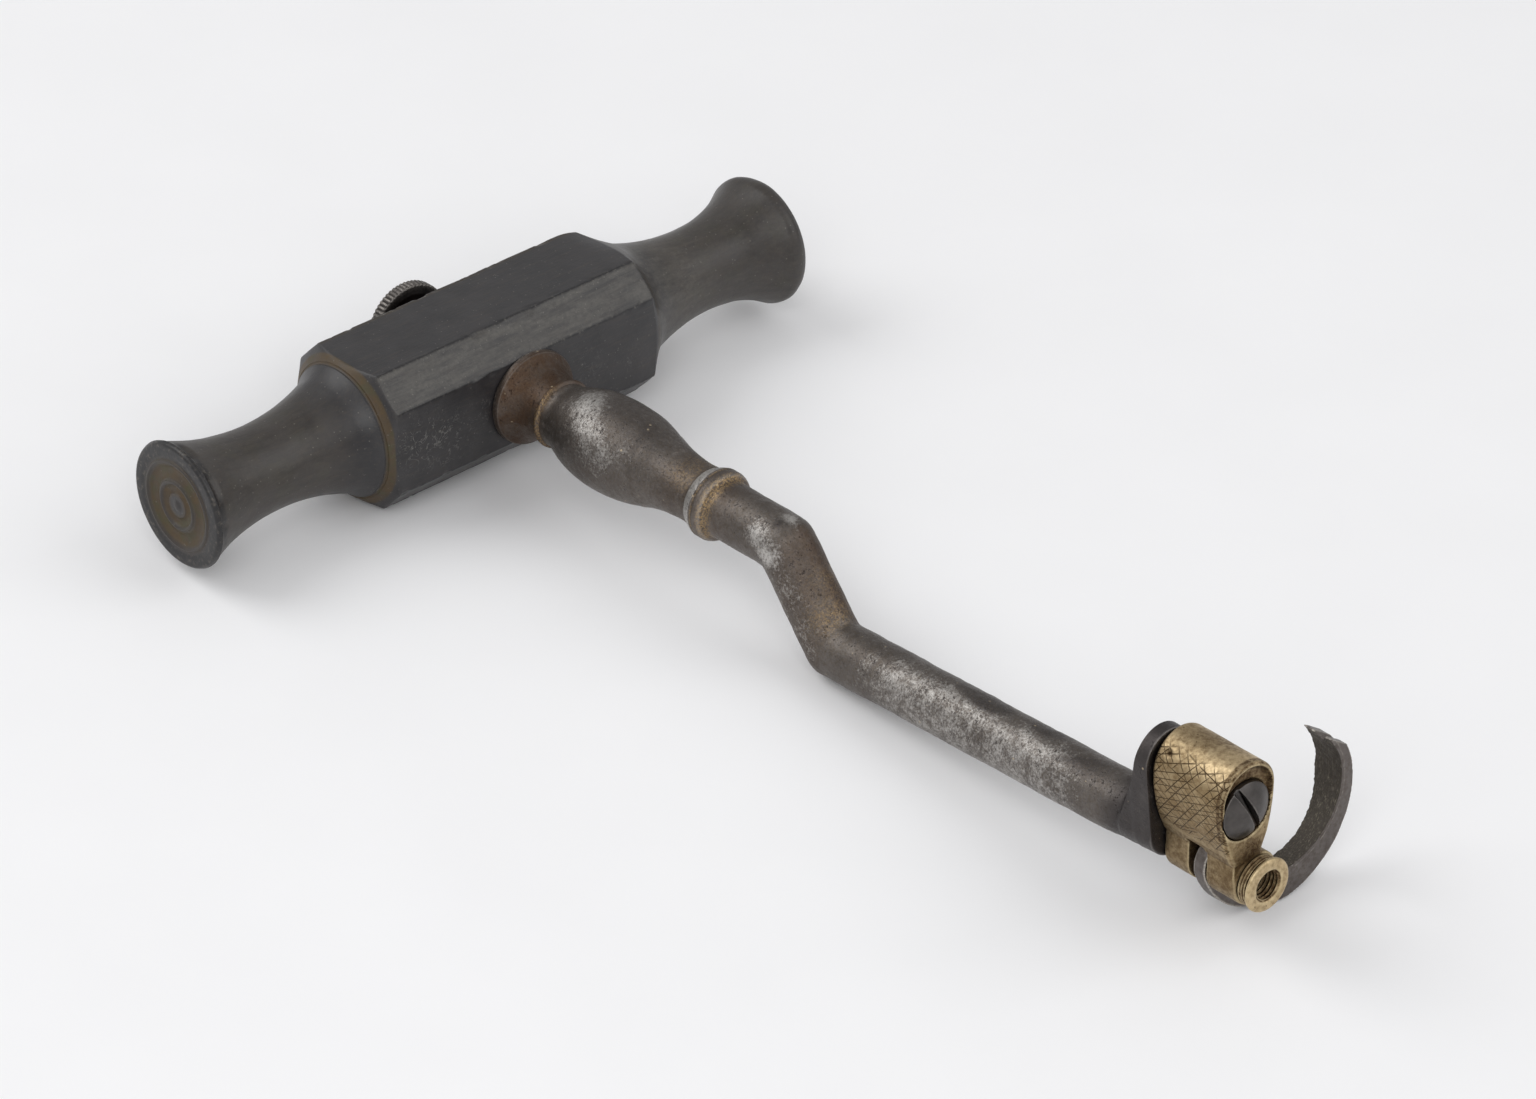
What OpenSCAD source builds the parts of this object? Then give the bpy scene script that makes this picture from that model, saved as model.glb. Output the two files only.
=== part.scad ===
// Dental key with a removable cross handle, a cranked shank, a turning bolster
// and a swinging claw. Millimetres. The origin is where the handle's axis meets
// the shank's axis. X runs along the handle, the shank runs forward along -Y
// and Z points up.

/* [Handle] */
// Overall length of the handle
handle_length = 110; // [96:1:130]
// Width across opposite flats of the middle block
block_flats = 21.8; // [19:0.1:25]
// Leg of the chamfer on each long edge of the block
block_chamfer = 4.4; // [2.5:0.1:5.5]
// Distance from the handle's middle to the end of the block's corners
block_half = 23.85; // [20:0.05:27]
// Radius of the cove turned between block and grip
cove_radius = 7.5; // [6:0.1:9]
// Distance from the block's corners to the start of the grip
cove_reach = 4.65; // [4.2:0.05:5.2]
// Radius of the grip at its waist
grip_waist_r = 6.42; // [5.6:0.02:7]
// Radius of the long hollow curve along the grip
grip_curve_r = 34; // [30:0.5:42]
// Distance of the waist from the end of the handle
waist_from_end = 15; // [13:0.5:17]
// Radius of the rounded lip at each end
lip_radius = 0.6; // [0.3:0.05:0.9]
// Radius of the raised bead on each end face
end_bead_r = 6.65; // [5.5:0.05:7.2]
// Radius of the small button in the middle of each end face
end_button_r = 1.6; // [1.2:0.05:2]

/* [Tang] */
// Side of the square tang that passes through the handle
tang_side = 6.5; // [5.5:0.1:7.5]
// Clearance on each side of the tang
tang_gap = 0.08; // [0.05:0.01:0.15]
// How far the tang stops short of the handle's back
tang_short = 0.6; // [0.4:0.1:1.5]

/* [Thumb screw] */
// Radius of the milled disc
thumb_disc_r = 6.6; // [6:0.1:8]
// Thickness of the milled disc
thumb_disc_t = 1.9; // [1.4:0.1:2.6]
// Distance from the handle's back to the disc
thumb_stand = 4.6; // [3.5:0.1:6]
// Radius of the shoulder that bears on the handle
thumb_shoulder_r = 5.4; // [5:0.1:6]
// Thickness of the shoulder
thumb_shoulder_t = 1.3; // [1:0.1:2]
// Radius of the neck between shoulder and disc
thumb_neck_r = 3.1; // [2.6:0.1:3.6]
// Radius of the thumb screw's stem
thumb_stem_r = 1.95; // [1.6:0.05:2.3]
// Length of the stem inside the tang
thumb_stem_l = 11.5; // [8:0.5:13]
// Number of milled notches around the disc
thumb_notches = 40; // [24:1:60]

/* [Shank] */
// Radius of the collar against the handle
collar_r = 7.1; // [6.4:0.1:8]
// Thickness of the collar's rim
collar_rim = 1; // [0.7:0.1:1.4]
// Radius of the neck behind the swell
neck_r = 4.8; // [4.4:0.1:5.2]
// Distance from the handle's face to the neck's bead
bead_from_face = 7; // [6:0.1:8]
// Greatest radius of the swell
swell_r = 7; // [6.2:0.1:7.8]
// Distance from the bead to the middle of the swell
swell_from_bead = 12.1; // [10:0.1:14]
// Radius of the long curve over the swell
swell_curve_r = 26; // [23:0.5:34]
// Radius of the narrow part in front of the swell
waist_r = 4.48; // [4:0.02:4.8]
// Distance from the swell's middle to the narrow part
waist_from_swell = 16; // [14:0.1:18]
// Distance from the narrow part to the ring
ring_from_waist = 3.2; // [2.5:0.1:4.5]
// Radius of the ring
ring_r = 5.25; // [5.05:0.05:5.8]
// Length of the ring
ring_l = 3.4; // [2.8:0.1:4]

/* [Crank] */
// Radius of the rod
rod_r = 4.35; // [4:0.05:4.6]
// Distance from the ring to the first bend
bend_from_ring = 12.3; // [10:0.1:16]
// Forward reach of the slanting part
crank_reach = 9.8; // [8:0.1:13]
// Drop of the slanting part
crank_drop = 12.15; // [10:0.05:13]
// Forward length of the straight part in front of the second bend
front_rod = 55.3; // [48:0.1:66]
// Rise of the front rod over that length
front_rise = 2.28; // [1.5:0.01:3]
// Length of the tapered end of the rod
taper_l = 9.8; // [8.5:0.1:12]
// Radius of the rod where it meets the plate
rod_end_r = 3.65; // [3.3:0.05:3.9]

/* [Foot plate] */
// Thickness of the plate at its top edge
plate_edge = 2; // [1.6:0.1:2.4]
// Radius of the plate's rounded top
plate_r = 4.3; // [4.1:0.05:5]
// Height of that round's middle above the bolster screw
plate_rise = 2.4; // [1.8:0.05:3.2]
// Sideways lean of the plate's top
plate_lean = 1.1; // [0:0.05:1.3]
// Radius of the plate's rounded bottom
plate_low_r = 4.3; // [4:0.05:4.8]
// How far the plate's bottom stands below the rod's end
plate_lip = 0.15; // [0:0.05:0.4]
// Radius of the hollow curve from rod to plate
flare = 21.9; // [20:0.1:24]

/* [Bolster] */
// Length of the bolster from back to front
bolster_l = 12.95; // [11.5:0.05:15]
// Radius of the bolster's rounded top
bolster_r = 5; // [4.8:0.05:5.6]
// Height of that round's middle above the screw
bolster_rise = 2.05; // [1.6:0.05:2.6]
// Radius of the bolster's bulging flanks
bolster_flank_r = 22; // [19:0.5:30]
// Sideways offset of the bolster's body from its screw
body_shift = 0.3; // [0:0.05:0.5]
// Sideways offset of the claw's pivot from the bolster screw
lobe_shift = 1.95; // [1:0.05:2.4]
// Drop from the bolster screw to the claw's pivot
pivot_drop = 11.5; // [11:0.1:13]
// Radius of the round lobe about the pivot
lobe_r = 3.95; // [3.7:0.05:4.3]
// Thickness of the lobe's back ear
back_ear = 4.55; // [3.5:0.05:5.5]
// Width of the slot for the claw
claw_slot = 3.15; // [2.8:0.05:3.6]
// Chamfer around both ends of the bolster
bolster_edge = 0.45; // [0.2:0.05:0.6]
// Gap between the bolster and the foot plate
bolster_gap = 0.05; // [0.03:0.01:0.1]

/* [Bolster screw] */
// Radius of the domed head
head_r = 4.15; // [3.7:0.05:4.25]
// Height of the straight part of the head
head_side = 0.8; // [0.6:0.1:1.5]
// Height of the dome
head_dome = 1.4; // [1:0.1:2]
// Depth of the recess for the head
recess_depth = 1.05; // [1:0.05:2.4]
// Depth of the dish around the recess
dish_depth = 0.75; // [0.4:0.05:0.9]
// Radius of the screw's stem
screw_r = 2.15; // [1.8:0.05:2.5]
// Width of the driver slot
driver_slot = 0.9; // [0.6:0.05:1.2]
// Angle of the driver slot
driver_angle = -63; // [-90:1:90]

/* [Claw] */
// Radius of the claw's hub
hub_r = 4; // [3.4:0.05:4.1]
// Thickness of the hub in its slot
hub_t = 2.1; // [1.9:0.05:2.4]
// Gap between the hub and the front ear
hub_gap = 0.15; // [0.1:0.01:0.3]
// Radius of the claw's outer curve
claw_outer_r = 13.5; // [12.5:0.1:14.5]
// Radius of the claw's inner curve
claw_inner_r = 9.9; // [9:0.1:10.4]
// Angle of the claw about its pivot as it is shown
claw_lean = 20; // [10:1:30]
// Width of the claw at its tip
claw_tip_w = 5.2; // [4.4:0.1:6]
// Width of the claw at its heel
claw_heel_w = 3.55; // [3:0.05:4.2]
// Distance from the middle of the hub to the blade's front face
blade_front = 2.25; // [1.8:0.05:2.6]
// Width of the notch between the two prongs
notch_w = 1.5; // [0.8:0.1:2]

/* [Claw pivot] */
// Radius of the pivot screw
pivot_r = 1.95; // [1.6:0.05:2.1]
// Radius of the bush's flange
bush_flange_r = 3.95; // [3.5:0.05:4.2]
// Length of the bush in front of the ear
bush_front = 2.4; // [1.8:0.1:3.2]
// Radius of the bush inside the ear
bush_stem_r = 2.75; // [2.6:0.05:2.85]
// Length of open thread in front of the pivot screw
open_thread = 3.6; // [3:0.1:4]

/* [Fits] */
// Radial clearance of screws, stems and pins
fit_gap = 0.05; // [0.02:0.01:0.1]
// Gap between parts that lie face to face
face_gap = 0.05; // [0.03:0.01:0.1]

/* [Hidden] */
$fn = 96;
eps = 0.01;

// Handle stations along X
half = handle_length / 2;
waist_x = half - waist_from_end;
face_x = half - 0.3;
block_face = block_flats / 2;
block_low = block_face - block_chamfer;
corner_r = sqrt(block_face * block_face + block_low * block_low);
meet_x = block_half + cove_reach;
meet_run = waist_x - meet_x;
meet_r = grip_waist_r + grip_curve_r - sqrt(grip_curve_r * grip_curve_r - meet_run * meet_run);

// The cove passes through the block's corner and the start of the grip
cove_rise = corner_r - meet_r;
cove_chord = sqrt(cove_rise * cove_rise + cove_reach * cove_reach);
cove_h = sqrt(cove_radius * cove_radius - cove_chord * cove_chord / 4);
cove_mid_r = (corner_r + meet_r) / 2 + cove_h * cove_reach / cove_chord;
cove_x = (meet_x + block_half) / 2 + cove_h * cove_rise / cove_chord;
groove_turn = 44;
groove_r = cove_mid_r - cove_radius * cos(groove_turn);
groove_x = cove_x - cove_radius * sin(groove_turn);

// Shank stations, measured forward from the handle's axis
collar_s = block_face + face_gap;
bead_s = block_face + bead_from_face;
swell_s = bead_s + swell_from_bead;
waist_s = swell_s + waist_from_swell;
waist_curve_r = 24;
ring_s = waist_s + ring_from_waist;
bend1_s = ring_s + ring_l + bend_from_ring;
bend2_s = bend1_s + crank_reach;
taper_s = bend2_s + front_rod;
taper_z = front_rise - crank_drop;
plate_s = taper_s + taper_l;
// the upper side of the tapered end stays level
rod_z = taper_z + rod_r - rod_end_r;
meet_s = swell_s + (waist_s - swell_s) * swell_curve_r / (swell_curve_r + waist_curve_r);

// Head stations
bolster_s = plate_s + bolster_gap;
front_s = bolster_s + bolster_l;
slot_s = bolster_s + back_ear;
slot_end = slot_s + claw_slot;
claw_s = slot_end - hub_gap - hub_t / 2;
recess_s = front_s - recess_depth;
bush_end = front_s + bush_front;
thread_s = bush_end - open_thread;
bush_back = slot_end + 0.9;
pivot_x = lobe_shift;
pivot_z = -pivot_drop;
neck_z = -pivot_drop + hub_r + 0.3;

// Turns a shape drawn with its height along Z so that it points forward
module forward(s = 0) {
    translate([0, -s, 0])
    rotate([90, 0, 0])
    children();
}

module forward_pin(r, s0, s1) {
    forward(s0)
    cylinder(r = r, h = s1 - s0);
}

// Half of the handle's outline, turned about the handle's axis
module handle_outline() {
    difference() {
        square([block_flats, face_x]);
        intersection() {
            translate([grip_waist_r + grip_curve_r, waist_x])
            circle(r = grip_curve_r, $fn = 180);
            translate([0, meet_x])
            square([grip_curve_r, half]);
        }
        translate([cove_mid_r, cove_x])
        circle(r = cove_radius);
        translate([grip_waist_r + 2.6, half - 0.75])
        square([block_flats, half]);
        // fine groove in the cove
        translate([groove_r, groove_x])
        circle(r = 0.25);
        // turned hollows of the end face
        translate([(end_bead_r + 3.55) / 2, face_x + 0.9])
        circle(r = 1.4);
        translate([2.5, face_x + 0.4])
        circle(r = 0.8);
    }
    translate([grip_waist_r + 2.43, half - 0.75])
    circle(r = lip_radius);
    translate([end_bead_r, face_x - 0.1])
    circle(r = 0.3);
    translate([3.55, face_x - 0.1])
    circle(r = 0.3);
    intersection() {
        translate([0, face_x + 0.25 - end_button_r])
        circle(r = end_button_r);
        translate([0, face_x - 2 * end_button_r])
        square([2 * end_button_r, 3 * end_button_r]);
    }
}

module handle_half() {
    rotate([0, 90, 0])
    rotate_extrude()
    handle_outline();
}

module block_section() {
    a = block_face;
    b = block_low;
    polygon([[b, -a], [a, -b], [a, b], [b, a], [-b, a], [-a, b], [-a, -b], [-b, -a]]);
}

module handle() {
    hole = tang_side + 2 * tang_gap;
    color("#2c2a2b")
    difference() {
        intersection() {
            union() {
                handle_half();
                mirror([1, 0, 0])
                handle_half();
            }
            rotate([90, 0, 90])
            linear_extrude(height = handle_length + 2, center = true)
            block_section();
        }
        cube([hole, 2 * block_flats, hole], center = true);
    }
}

// Thumb screw that holds the handle on the tang
module thumb_screw() {
    base = block_face + face_gap;
    disc = block_face + thumb_stand;
    color("#4a4643")
    difference() {
        rotate([-90, 0, 0])
        union() {
            translate([0, 0, base - thumb_stem_l])
            cylinder(r = thumb_stem_r, h = thumb_stem_l + 1);
            translate([0, 0, base])
            cylinder(r = thumb_shoulder_r, h = thumb_shoulder_t);
            translate([0, 0, base + thumb_shoulder_t - eps])
            cylinder(r1 = thumb_shoulder_r - 0.4, r2 = thumb_neck_r, h = 1.2);
            translate([0, 0, base])
            cylinder(r = thumb_neck_r, h = disc - base + 1);
            translate([0, 0, disc - 0.7])
            cylinder(r1 = thumb_neck_r, r2 = thumb_neck_r + 1.6, h = 0.7 + eps);
            translate([0, 0, disc])
            cylinder(r = thumb_disc_r, h = thumb_disc_t);
        }
        for (i = [0:thumb_notches - 1])
            rotate([0, i * 360 / thumb_notches, 0])
            translate([thumb_disc_r + 0.02, disc + thumb_disc_t / 2, 0])
            rotate([0, 45, 0])
            cube([0.42, thumb_disc_t + 2, 0.42], center = true);
    }
}

// Turned part of the shank, from the collar to the ring
module shank_outline() {
    flare_top = collar_s + collar_rim;
    flare_l = bead_s - 0.6 - flare_top;
    rise = collar_r - neck_r;
    flare_r = (rise * rise + flare_l * flare_l) / (2 * rise);
    // collar with its hollow flare
    difference() {
        translate([0, collar_s])
        square([collar_r, flare_top + flare_l - collar_s]);
        translate([neck_r + flare_r, flare_top + flare_l])
        circle(r = flare_r, $fn = 180);
    }
    // neck and bead
    translate([0, flare_top])
    square([neck_r, bead_s + 1.6 - flare_top]);
    translate([neck_r - 0.05, bead_s])
    circle(r = 0.45);
    // swell
    intersection() {
        translate([swell_r - swell_curve_r, swell_s])
        circle(r = swell_curve_r, $fn = 180);
        translate([0, bead_s])
        square([swell_r + 1, meet_s - bead_s]);
    }
    // hollow in front of the swell
    difference() {
        translate([0, meet_s - eps])
        square([swell_r - 0.4, ring_s + 0.5 - meet_s]);
        translate([waist_r + waist_curve_r, waist_s])
        circle(r = waist_curve_r, $fn = 180);
    }
    // ring with a fine groove
    difference() {
        polygon([
            [0, ring_s - 0.3],
            [waist_r + 0.1, ring_s - 0.3],
            [ring_r - 0.05, ring_s + 1],
            [ring_r, ring_s + 1.2],
            [ring_r, ring_s + ring_l - 1],
            [ring_r - 0.25, ring_s + ring_l - 0.4],
            [rod_r + 0.1, ring_s + ring_l],
            [0, ring_s + ring_l]
        ]);
        translate([ring_r + 0.05, ring_s + 1.55])
        circle(r = 0.25);
    }
}

module slanted_rod(s0, z0, s1, z1, start_r, end_r) {
    run = s1 - s0;
    rise = z1 - z0;
    translate([0, -s0, z0])
    rotate([90 - atan2(rise, run), 0, 0])
    cylinder(r1 = start_r, r2 = end_r, h = sqrt(run * run + rise * rise));
}

// Two rounds joined by their outer tangents
module plate_section() {
    low_z = rod_z - rod_end_r - plate_lip + plate_low_r;
    rise = plate_rise - low_z;
    span = sqrt(rise * rise + plate_lean * plate_lean);
    aim = atan2(-rise, plate_lean);
    side = acos((plate_r - plate_low_r) / span);
    ca = cos(aim + side);
    sa = sin(aim + side);
    cb = cos(aim - side);
    sb = sin(aim - side);
    // the flanks lie a hair inside the rounds, so that they cross them
    top_r = plate_r - 0.02;
    low_r = plate_low_r - 0.02;
    translate([-plate_lean, plate_rise])
    circle(r = plate_r);
    translate([0, low_z])
    circle(r = plate_low_r);
    polygon([
        [-plate_lean + top_r * ca, plate_rise + top_r * sa],
        [-plate_lean + top_r * cb, plate_rise + top_r * sb],
        [low_r * cb, low_z + low_r * sb],
        [low_r * ca, low_z + low_r * sa]
    ]);
}

module shank() {
    // the hollow curve runs out level just above the plate's top
    far = plate_rise + plate_r - rod_z + 0.9;
    edge = plate_s - plate_edge;
    root_s = edge - 7;
    // the tapered end starts a little inside the straight part
    lap = 0.5;
    lap_z = taper_z - lap * front_rise / front_rod;
    color("#5b5450")
    difference() {
        union() {
            translate([0, (block_face - tang_short - collar_s - 1) / 2, 0])
            cube([tang_side, block_face - tang_short + collar_s + 1, tang_side], center = true);
            forward()
            rotate_extrude()
            shank_outline();
            forward_pin(rod_r, ring_s + 1, bend1_s);
            translate([0, -bend1_s, 0])
            sphere(r = rod_r + 0.05);
            slanted_rod(bend1_s, 0, bend2_s, -crank_drop, rod_r, rod_r);
            translate([0, -bend2_s, -crank_drop])
            sphere(r = rod_r + 0.05);
            slanted_rod(bend2_s, -crank_drop, taper_s, taper_z, rod_r, rod_r);
            slanted_rod(taper_s - lap, lap_z, plate_s - 0.3, rod_z, rod_r - 0.06, rod_end_r);
            intersection() {
                translate([0, 0, rod_z])
                forward()
                rotate_extrude()
                difference() {
                    translate([0, root_s])
                    square([far, plate_s - root_s]);
                    translate([far, edge - flare])
                    circle(r = flare, $fn = 180);
                }
                forward(root_s - 1)
                linear_extrude(height = plate_s - root_s + 1)
                plate_section();
            }
        }
        // threaded hole for the thumb screw
        rotate([-90, 0, 0])
        translate([0, 0, block_face - thumb_stem_l - 0.6])
        cylinder(r = thumb_stem_r + fit_gap, h = thumb_stem_l + 5);
        // threaded hole for the bolster screw
        forward_pin(screw_r + fit_gap, plate_s - 8, plate_s + 1);
    }
}

// Disc with both rims chamfered
module soft_disc(r, h, c) {
    rotate_extrude($fn = 180)
    polygon([[0, 0], [r - c, 0], [r, c], [r, h - c], [r - c, h], [0, h]]);
}

module bolster_body() {
    off = bolster_flank_r - bolster_r;
    low = neck_z - 0.7;
    translate([body_shift, bolster_rise, 0])
    soft_disc(bolster_r, bolster_l, bolster_edge);
    intersection() {
        translate([body_shift + off, bolster_rise, 0])
        soft_disc(bolster_flank_r, bolster_l, bolster_edge);
        translate([body_shift - off, bolster_rise, 0])
        soft_disc(bolster_flank_r, bolster_l, bolster_edge);
        translate([body_shift - bolster_r, low, 0])
        cube([2 * bolster_r, bolster_rise - low, bolster_l]);
    }
}

module bolster_lobe() {
    translate([lobe_shift, -pivot_drop, 0])
    soft_disc(lobe_r, bolster_l, bolster_edge / 2);
    translate([lobe_shift - lobe_r, -pivot_drop, bolster_edge / 2])
    cube([lobe_r + 1.3, pivot_drop + neck_z, bolster_l - bolster_edge]);
}

module bolster() {
    color("#9a845a")
    forward(bolster_s)
    difference() {
        union() {
            bolster_body();
            bolster_lobe();
        }
        // slot for the claw
        translate([-10, -pivot_drop - 10, back_ear])
        cube([25, neck_z + pivot_drop + 10, claw_slot]);
        // bore and recess for the bolster screw
        translate([0, 0, -1])
        cylinder(r = screw_r + fit_gap, h = bolster_l + 2);
        translate([0, 0, bolster_l - recess_depth])
        cylinder(r = head_r + 0.1, h = recess_depth + 1);
        translate([body_shift, bolster_rise - 0.1, bolster_l - dish_depth])
        cylinder(r1 = bolster_r - 1, r2 = bolster_r - 0.4, h = dish_depth + 0.25);
        // pivot bore in both ears and the seat of the bush
        translate([lobe_shift, -pivot_drop, 1.5])
        cylinder(r = pivot_r + fit_gap, h = bolster_l);
        translate([lobe_shift, -pivot_drop, bush_back - bolster_s])
        cylinder(r = bush_stem_r + fit_gap, h = bolster_l);
    }
}

module bolster_screw() {
    dome_r = (head_r * head_r + head_dome * head_dome) / (2 * head_dome);
    seat = recess_s + face_gap;
    tail = plate_s - plate_edge - 1;
    color("#504b4c")
    difference() {
        union() {
            forward_pin(screw_r, tail, seat + 0.5);
            forward_pin(head_r, seat, seat + head_side);
            forward(seat + head_side - eps)
            intersection() {
                translate([0, 0, head_dome - dome_r])
                sphere(r = dome_r);
                cylinder(r = head_r, h = head_dome + 1);
            }
        }
        forward(seat + head_side)
        rotate([0, 0, driver_angle])
        translate([-head_r - 1, -driver_slot / 2, -0.2])
        cube([2 * head_r + 2, driver_slot, head_dome + 2]);
    }
}

// The claw's outline about its pivot
module claw_outline() {
    oc = claw_outer_r - hub_r;
    ox = oc * cos(claw_lean);
    oy = oc * sin(claw_lean);
    ic = oc + 1.75;
    ix = ic * cos(claw_lean + 3.5);
    iy = ic * sin(claw_lean + 3.5);
    tip_a = claw_lean + 21.8;
    tx = ix + (claw_inner_r + 0.4) * cos(tip_a);
    ty = iy + (claw_inner_r + 0.4) * sin(tip_a);
    ex = tx + 6 * cos(claw_lean - 55);
    ey = ty + 6 * sin(claw_lean - 55);
    intersection() {
        difference() {
            translate([ox, oy])
            circle(r = claw_outer_r, $fn = 180);
            translate([ix, iy])
            circle(r = claw_inner_r, $fn = 180);
        }
        polygon([
            [0, 0],
            [ix, iy],
            [tx, ty],
            [ex, ey],
            [ex + 12, ey - 8],
            [ex + 6, -30],
            [-14, -30],
            [-14 * cos(claw_lean), -14 * sin(claw_lean)]
        ]);
    }
    circle(r = hub_r);
}

module claw() {
    far = 2 * claw_outer_r;
    rear = claw_tip_w - blade_front;
    heel = claw_heel_w - blade_front;
    a = claw_lean;
    tip_x = (claw_outer_r - hub_r + 1.75) * cos(a + 3.5) + (claw_inner_r + 0.4) * cos(a + 21.8);
    tip_z = (claw_outer_r - hub_r + 1.75) * sin(a + 3.5) + (claw_inner_r + 0.4) * sin(a + 21.8);
    color("#57514e")
    translate([pivot_x, -claw_s, pivot_z])
    difference() {
        intersection() {
            rotate([90, 0, 0])
            linear_extrude(height = 2 * claw_tip_w, center = true)
            claw_outline();
            // thin hub and wider blade
            translate([0, 0, -far - 10])
            linear_extrude(height = 2 * far + 20)
            polygon([
                [-far, -hub_t / 2],
                [hub_r + 1.5, -hub_t / 2],
                [hub_r + 6, -blade_front],
                [2 * far, -blade_front],
                [2 * far, rear],
                [hub_r + 4, rear],
                [hub_r + 1.5, hub_t / 2],
                [-far, hub_t / 2]
            ]);
            // the blade's back widens from heel to tip
            rotate([90, 0, 90])
            linear_extrude(height = 4 * far, center = true)
            polygon([
                [-far, -far],
                [heel, -far],
                [heel, -hub_r - 0.5],
                [rear, hub_r - 0.5],
                [rear, far],
                [-far, far]
            ]);
        }
        rotate([90, 0, 0])
        cylinder(r = pivot_r + fit_gap, h = 3 * claw_slot, center = true);
        // notch between the prongs
        translate([tip_x, 0, tip_z])
        rotate([0, 50 - claw_lean, 0])
        rotate([45, 0, 0])
        cube([8, notch_w, notch_w], center = true);
    }
}

// Turned bush, screwed into the front ear
module claw_bush() {
    rear_ring = bush_flange_r - 0.35;
    groove = bush_flange_r - 0.6;
    face = front_s + face_gap;
    ring_end = face + 0.56 * bush_front;
    groove_end = face + 0.67 * bush_front;
    color("#a18c60")
    translate([pivot_x, 0, pivot_z])
    difference() {
        forward()
        rotate_extrude()
        difference() {
            polygon([
                [0, bush_back + face_gap],
                [bush_stem_r, bush_back + face_gap],
                [bush_stem_r, face],
                [rear_ring, face],
                [rear_ring, ring_end],
                [groove, ring_end + 0.1],
                [groove, groove_end - 0.1],
                [bush_flange_r - 0.1, groove_end],
                [bush_flange_r, groove_end + 0.15],
                [bush_flange_r - 0.1, bush_end - 0.25],
                [bush_flange_r - 0.4, bush_end],
                [0, bush_end]
            ]);
            // fine turned lines on the rear ring
            translate([rear_ring + 0.05, face + 0.19 * bush_front])
            circle(r = 0.12);
            translate([rear_ring + 0.05, face + 0.38 * bush_front])
            circle(r = 0.12);
        }
        forward_pin(pivot_r + fit_gap, bush_back - 1, bush_end + 1);
        // relief at the end of the open thread
        forward_pin(pivot_r + fit_gap + 0.25, thread_s - 0.5, thread_s);
        forward(bush_end - 0.3)
        cylinder(r1 = pivot_r + fit_gap - 0.05, r2 = pivot_r + fit_gap + 0.35, h = 0.4);
    }
}

// Headless screw on which the claw swings
module claw_pivot_screw() {
    front = thread_s - 0.7;
    back = bolster_s + 1.7;
    color("#3f3b3a")
    translate([pivot_x, 0, pivot_z])
    difference() {
        forward_pin(pivot_r, back, front);
        forward(front - 0.8)
        rotate([0, 0, 30])
        translate([-3, -0.3, 0])
        cube([6, 0.6, 2]);
    }
}

handle();
thumb_screw();
shank();
bolster();
bolster_screw();
claw();
claw_bush();
claw_pivot_screw();
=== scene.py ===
import math

import bmesh
import bpy
from mathutils import Matrix, Vector, noise


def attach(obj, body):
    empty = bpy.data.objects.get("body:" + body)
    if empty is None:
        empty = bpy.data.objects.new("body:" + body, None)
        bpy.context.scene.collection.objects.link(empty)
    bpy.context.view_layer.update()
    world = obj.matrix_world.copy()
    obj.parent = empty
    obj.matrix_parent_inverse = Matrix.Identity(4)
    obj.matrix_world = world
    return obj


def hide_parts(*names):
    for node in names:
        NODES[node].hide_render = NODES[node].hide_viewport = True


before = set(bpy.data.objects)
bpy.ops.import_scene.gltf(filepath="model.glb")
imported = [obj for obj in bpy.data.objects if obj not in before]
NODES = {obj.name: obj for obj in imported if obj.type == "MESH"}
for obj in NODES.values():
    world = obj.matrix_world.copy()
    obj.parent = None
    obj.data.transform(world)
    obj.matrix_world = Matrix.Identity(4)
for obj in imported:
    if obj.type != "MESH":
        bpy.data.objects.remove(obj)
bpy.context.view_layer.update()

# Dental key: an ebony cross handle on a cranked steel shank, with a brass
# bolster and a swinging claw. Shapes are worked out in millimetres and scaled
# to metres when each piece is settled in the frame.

MM = 0.001
MERGE = 0.003           # points that lie nearer than this are one point
SCENE = bpy.context.scene


# ---- small sums

def softmin(a, b, k):
    """The smaller of two sizes, rounded over where they cross."""
    h = max(k - abs(a - b), 0.0)
    return min(a, b) - h * h / (4 * k)


def softmax(a, b, k):
    return -softmin(-a, -b, k)


def ease(value, low, high):
    """0 below low, 1 above high and easing softly in between."""
    t = min(max((value - low) / (high - low), 0.0), 1.0)
    return t * t * (3 - 2 * t)


def spot(point, middle, reach):
    """A soft round patch about a point: 1 in its middle."""
    return math.exp(-((point - Vector(middle)).length / reach) ** 2)


def spots(point, patches):
    """Several soft patches together, each given as (strength, middle, reach)."""
    return sum(strength * spot(point, middle, reach) for strength, middle, reach in patches)


def spread(low, high, count, last=True):
    """Evenly spaced stations."""
    top = count - 1 if last else count
    return [low + (high - low) * i / top for i in range(count)]


def linear(hex_colour):
    """A screen colour as the linear values that the shader takes."""
    values = []
    for i in (1, 3, 5):
        c = int(hex_colour[i:i + 2], 16) / 255
        values.append(c / 12.92 if c <= 0.04045 else ((c + 0.055) / 1.055) ** 2.4)
    return (*values, 1.0)


# ---- making pieces

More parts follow.
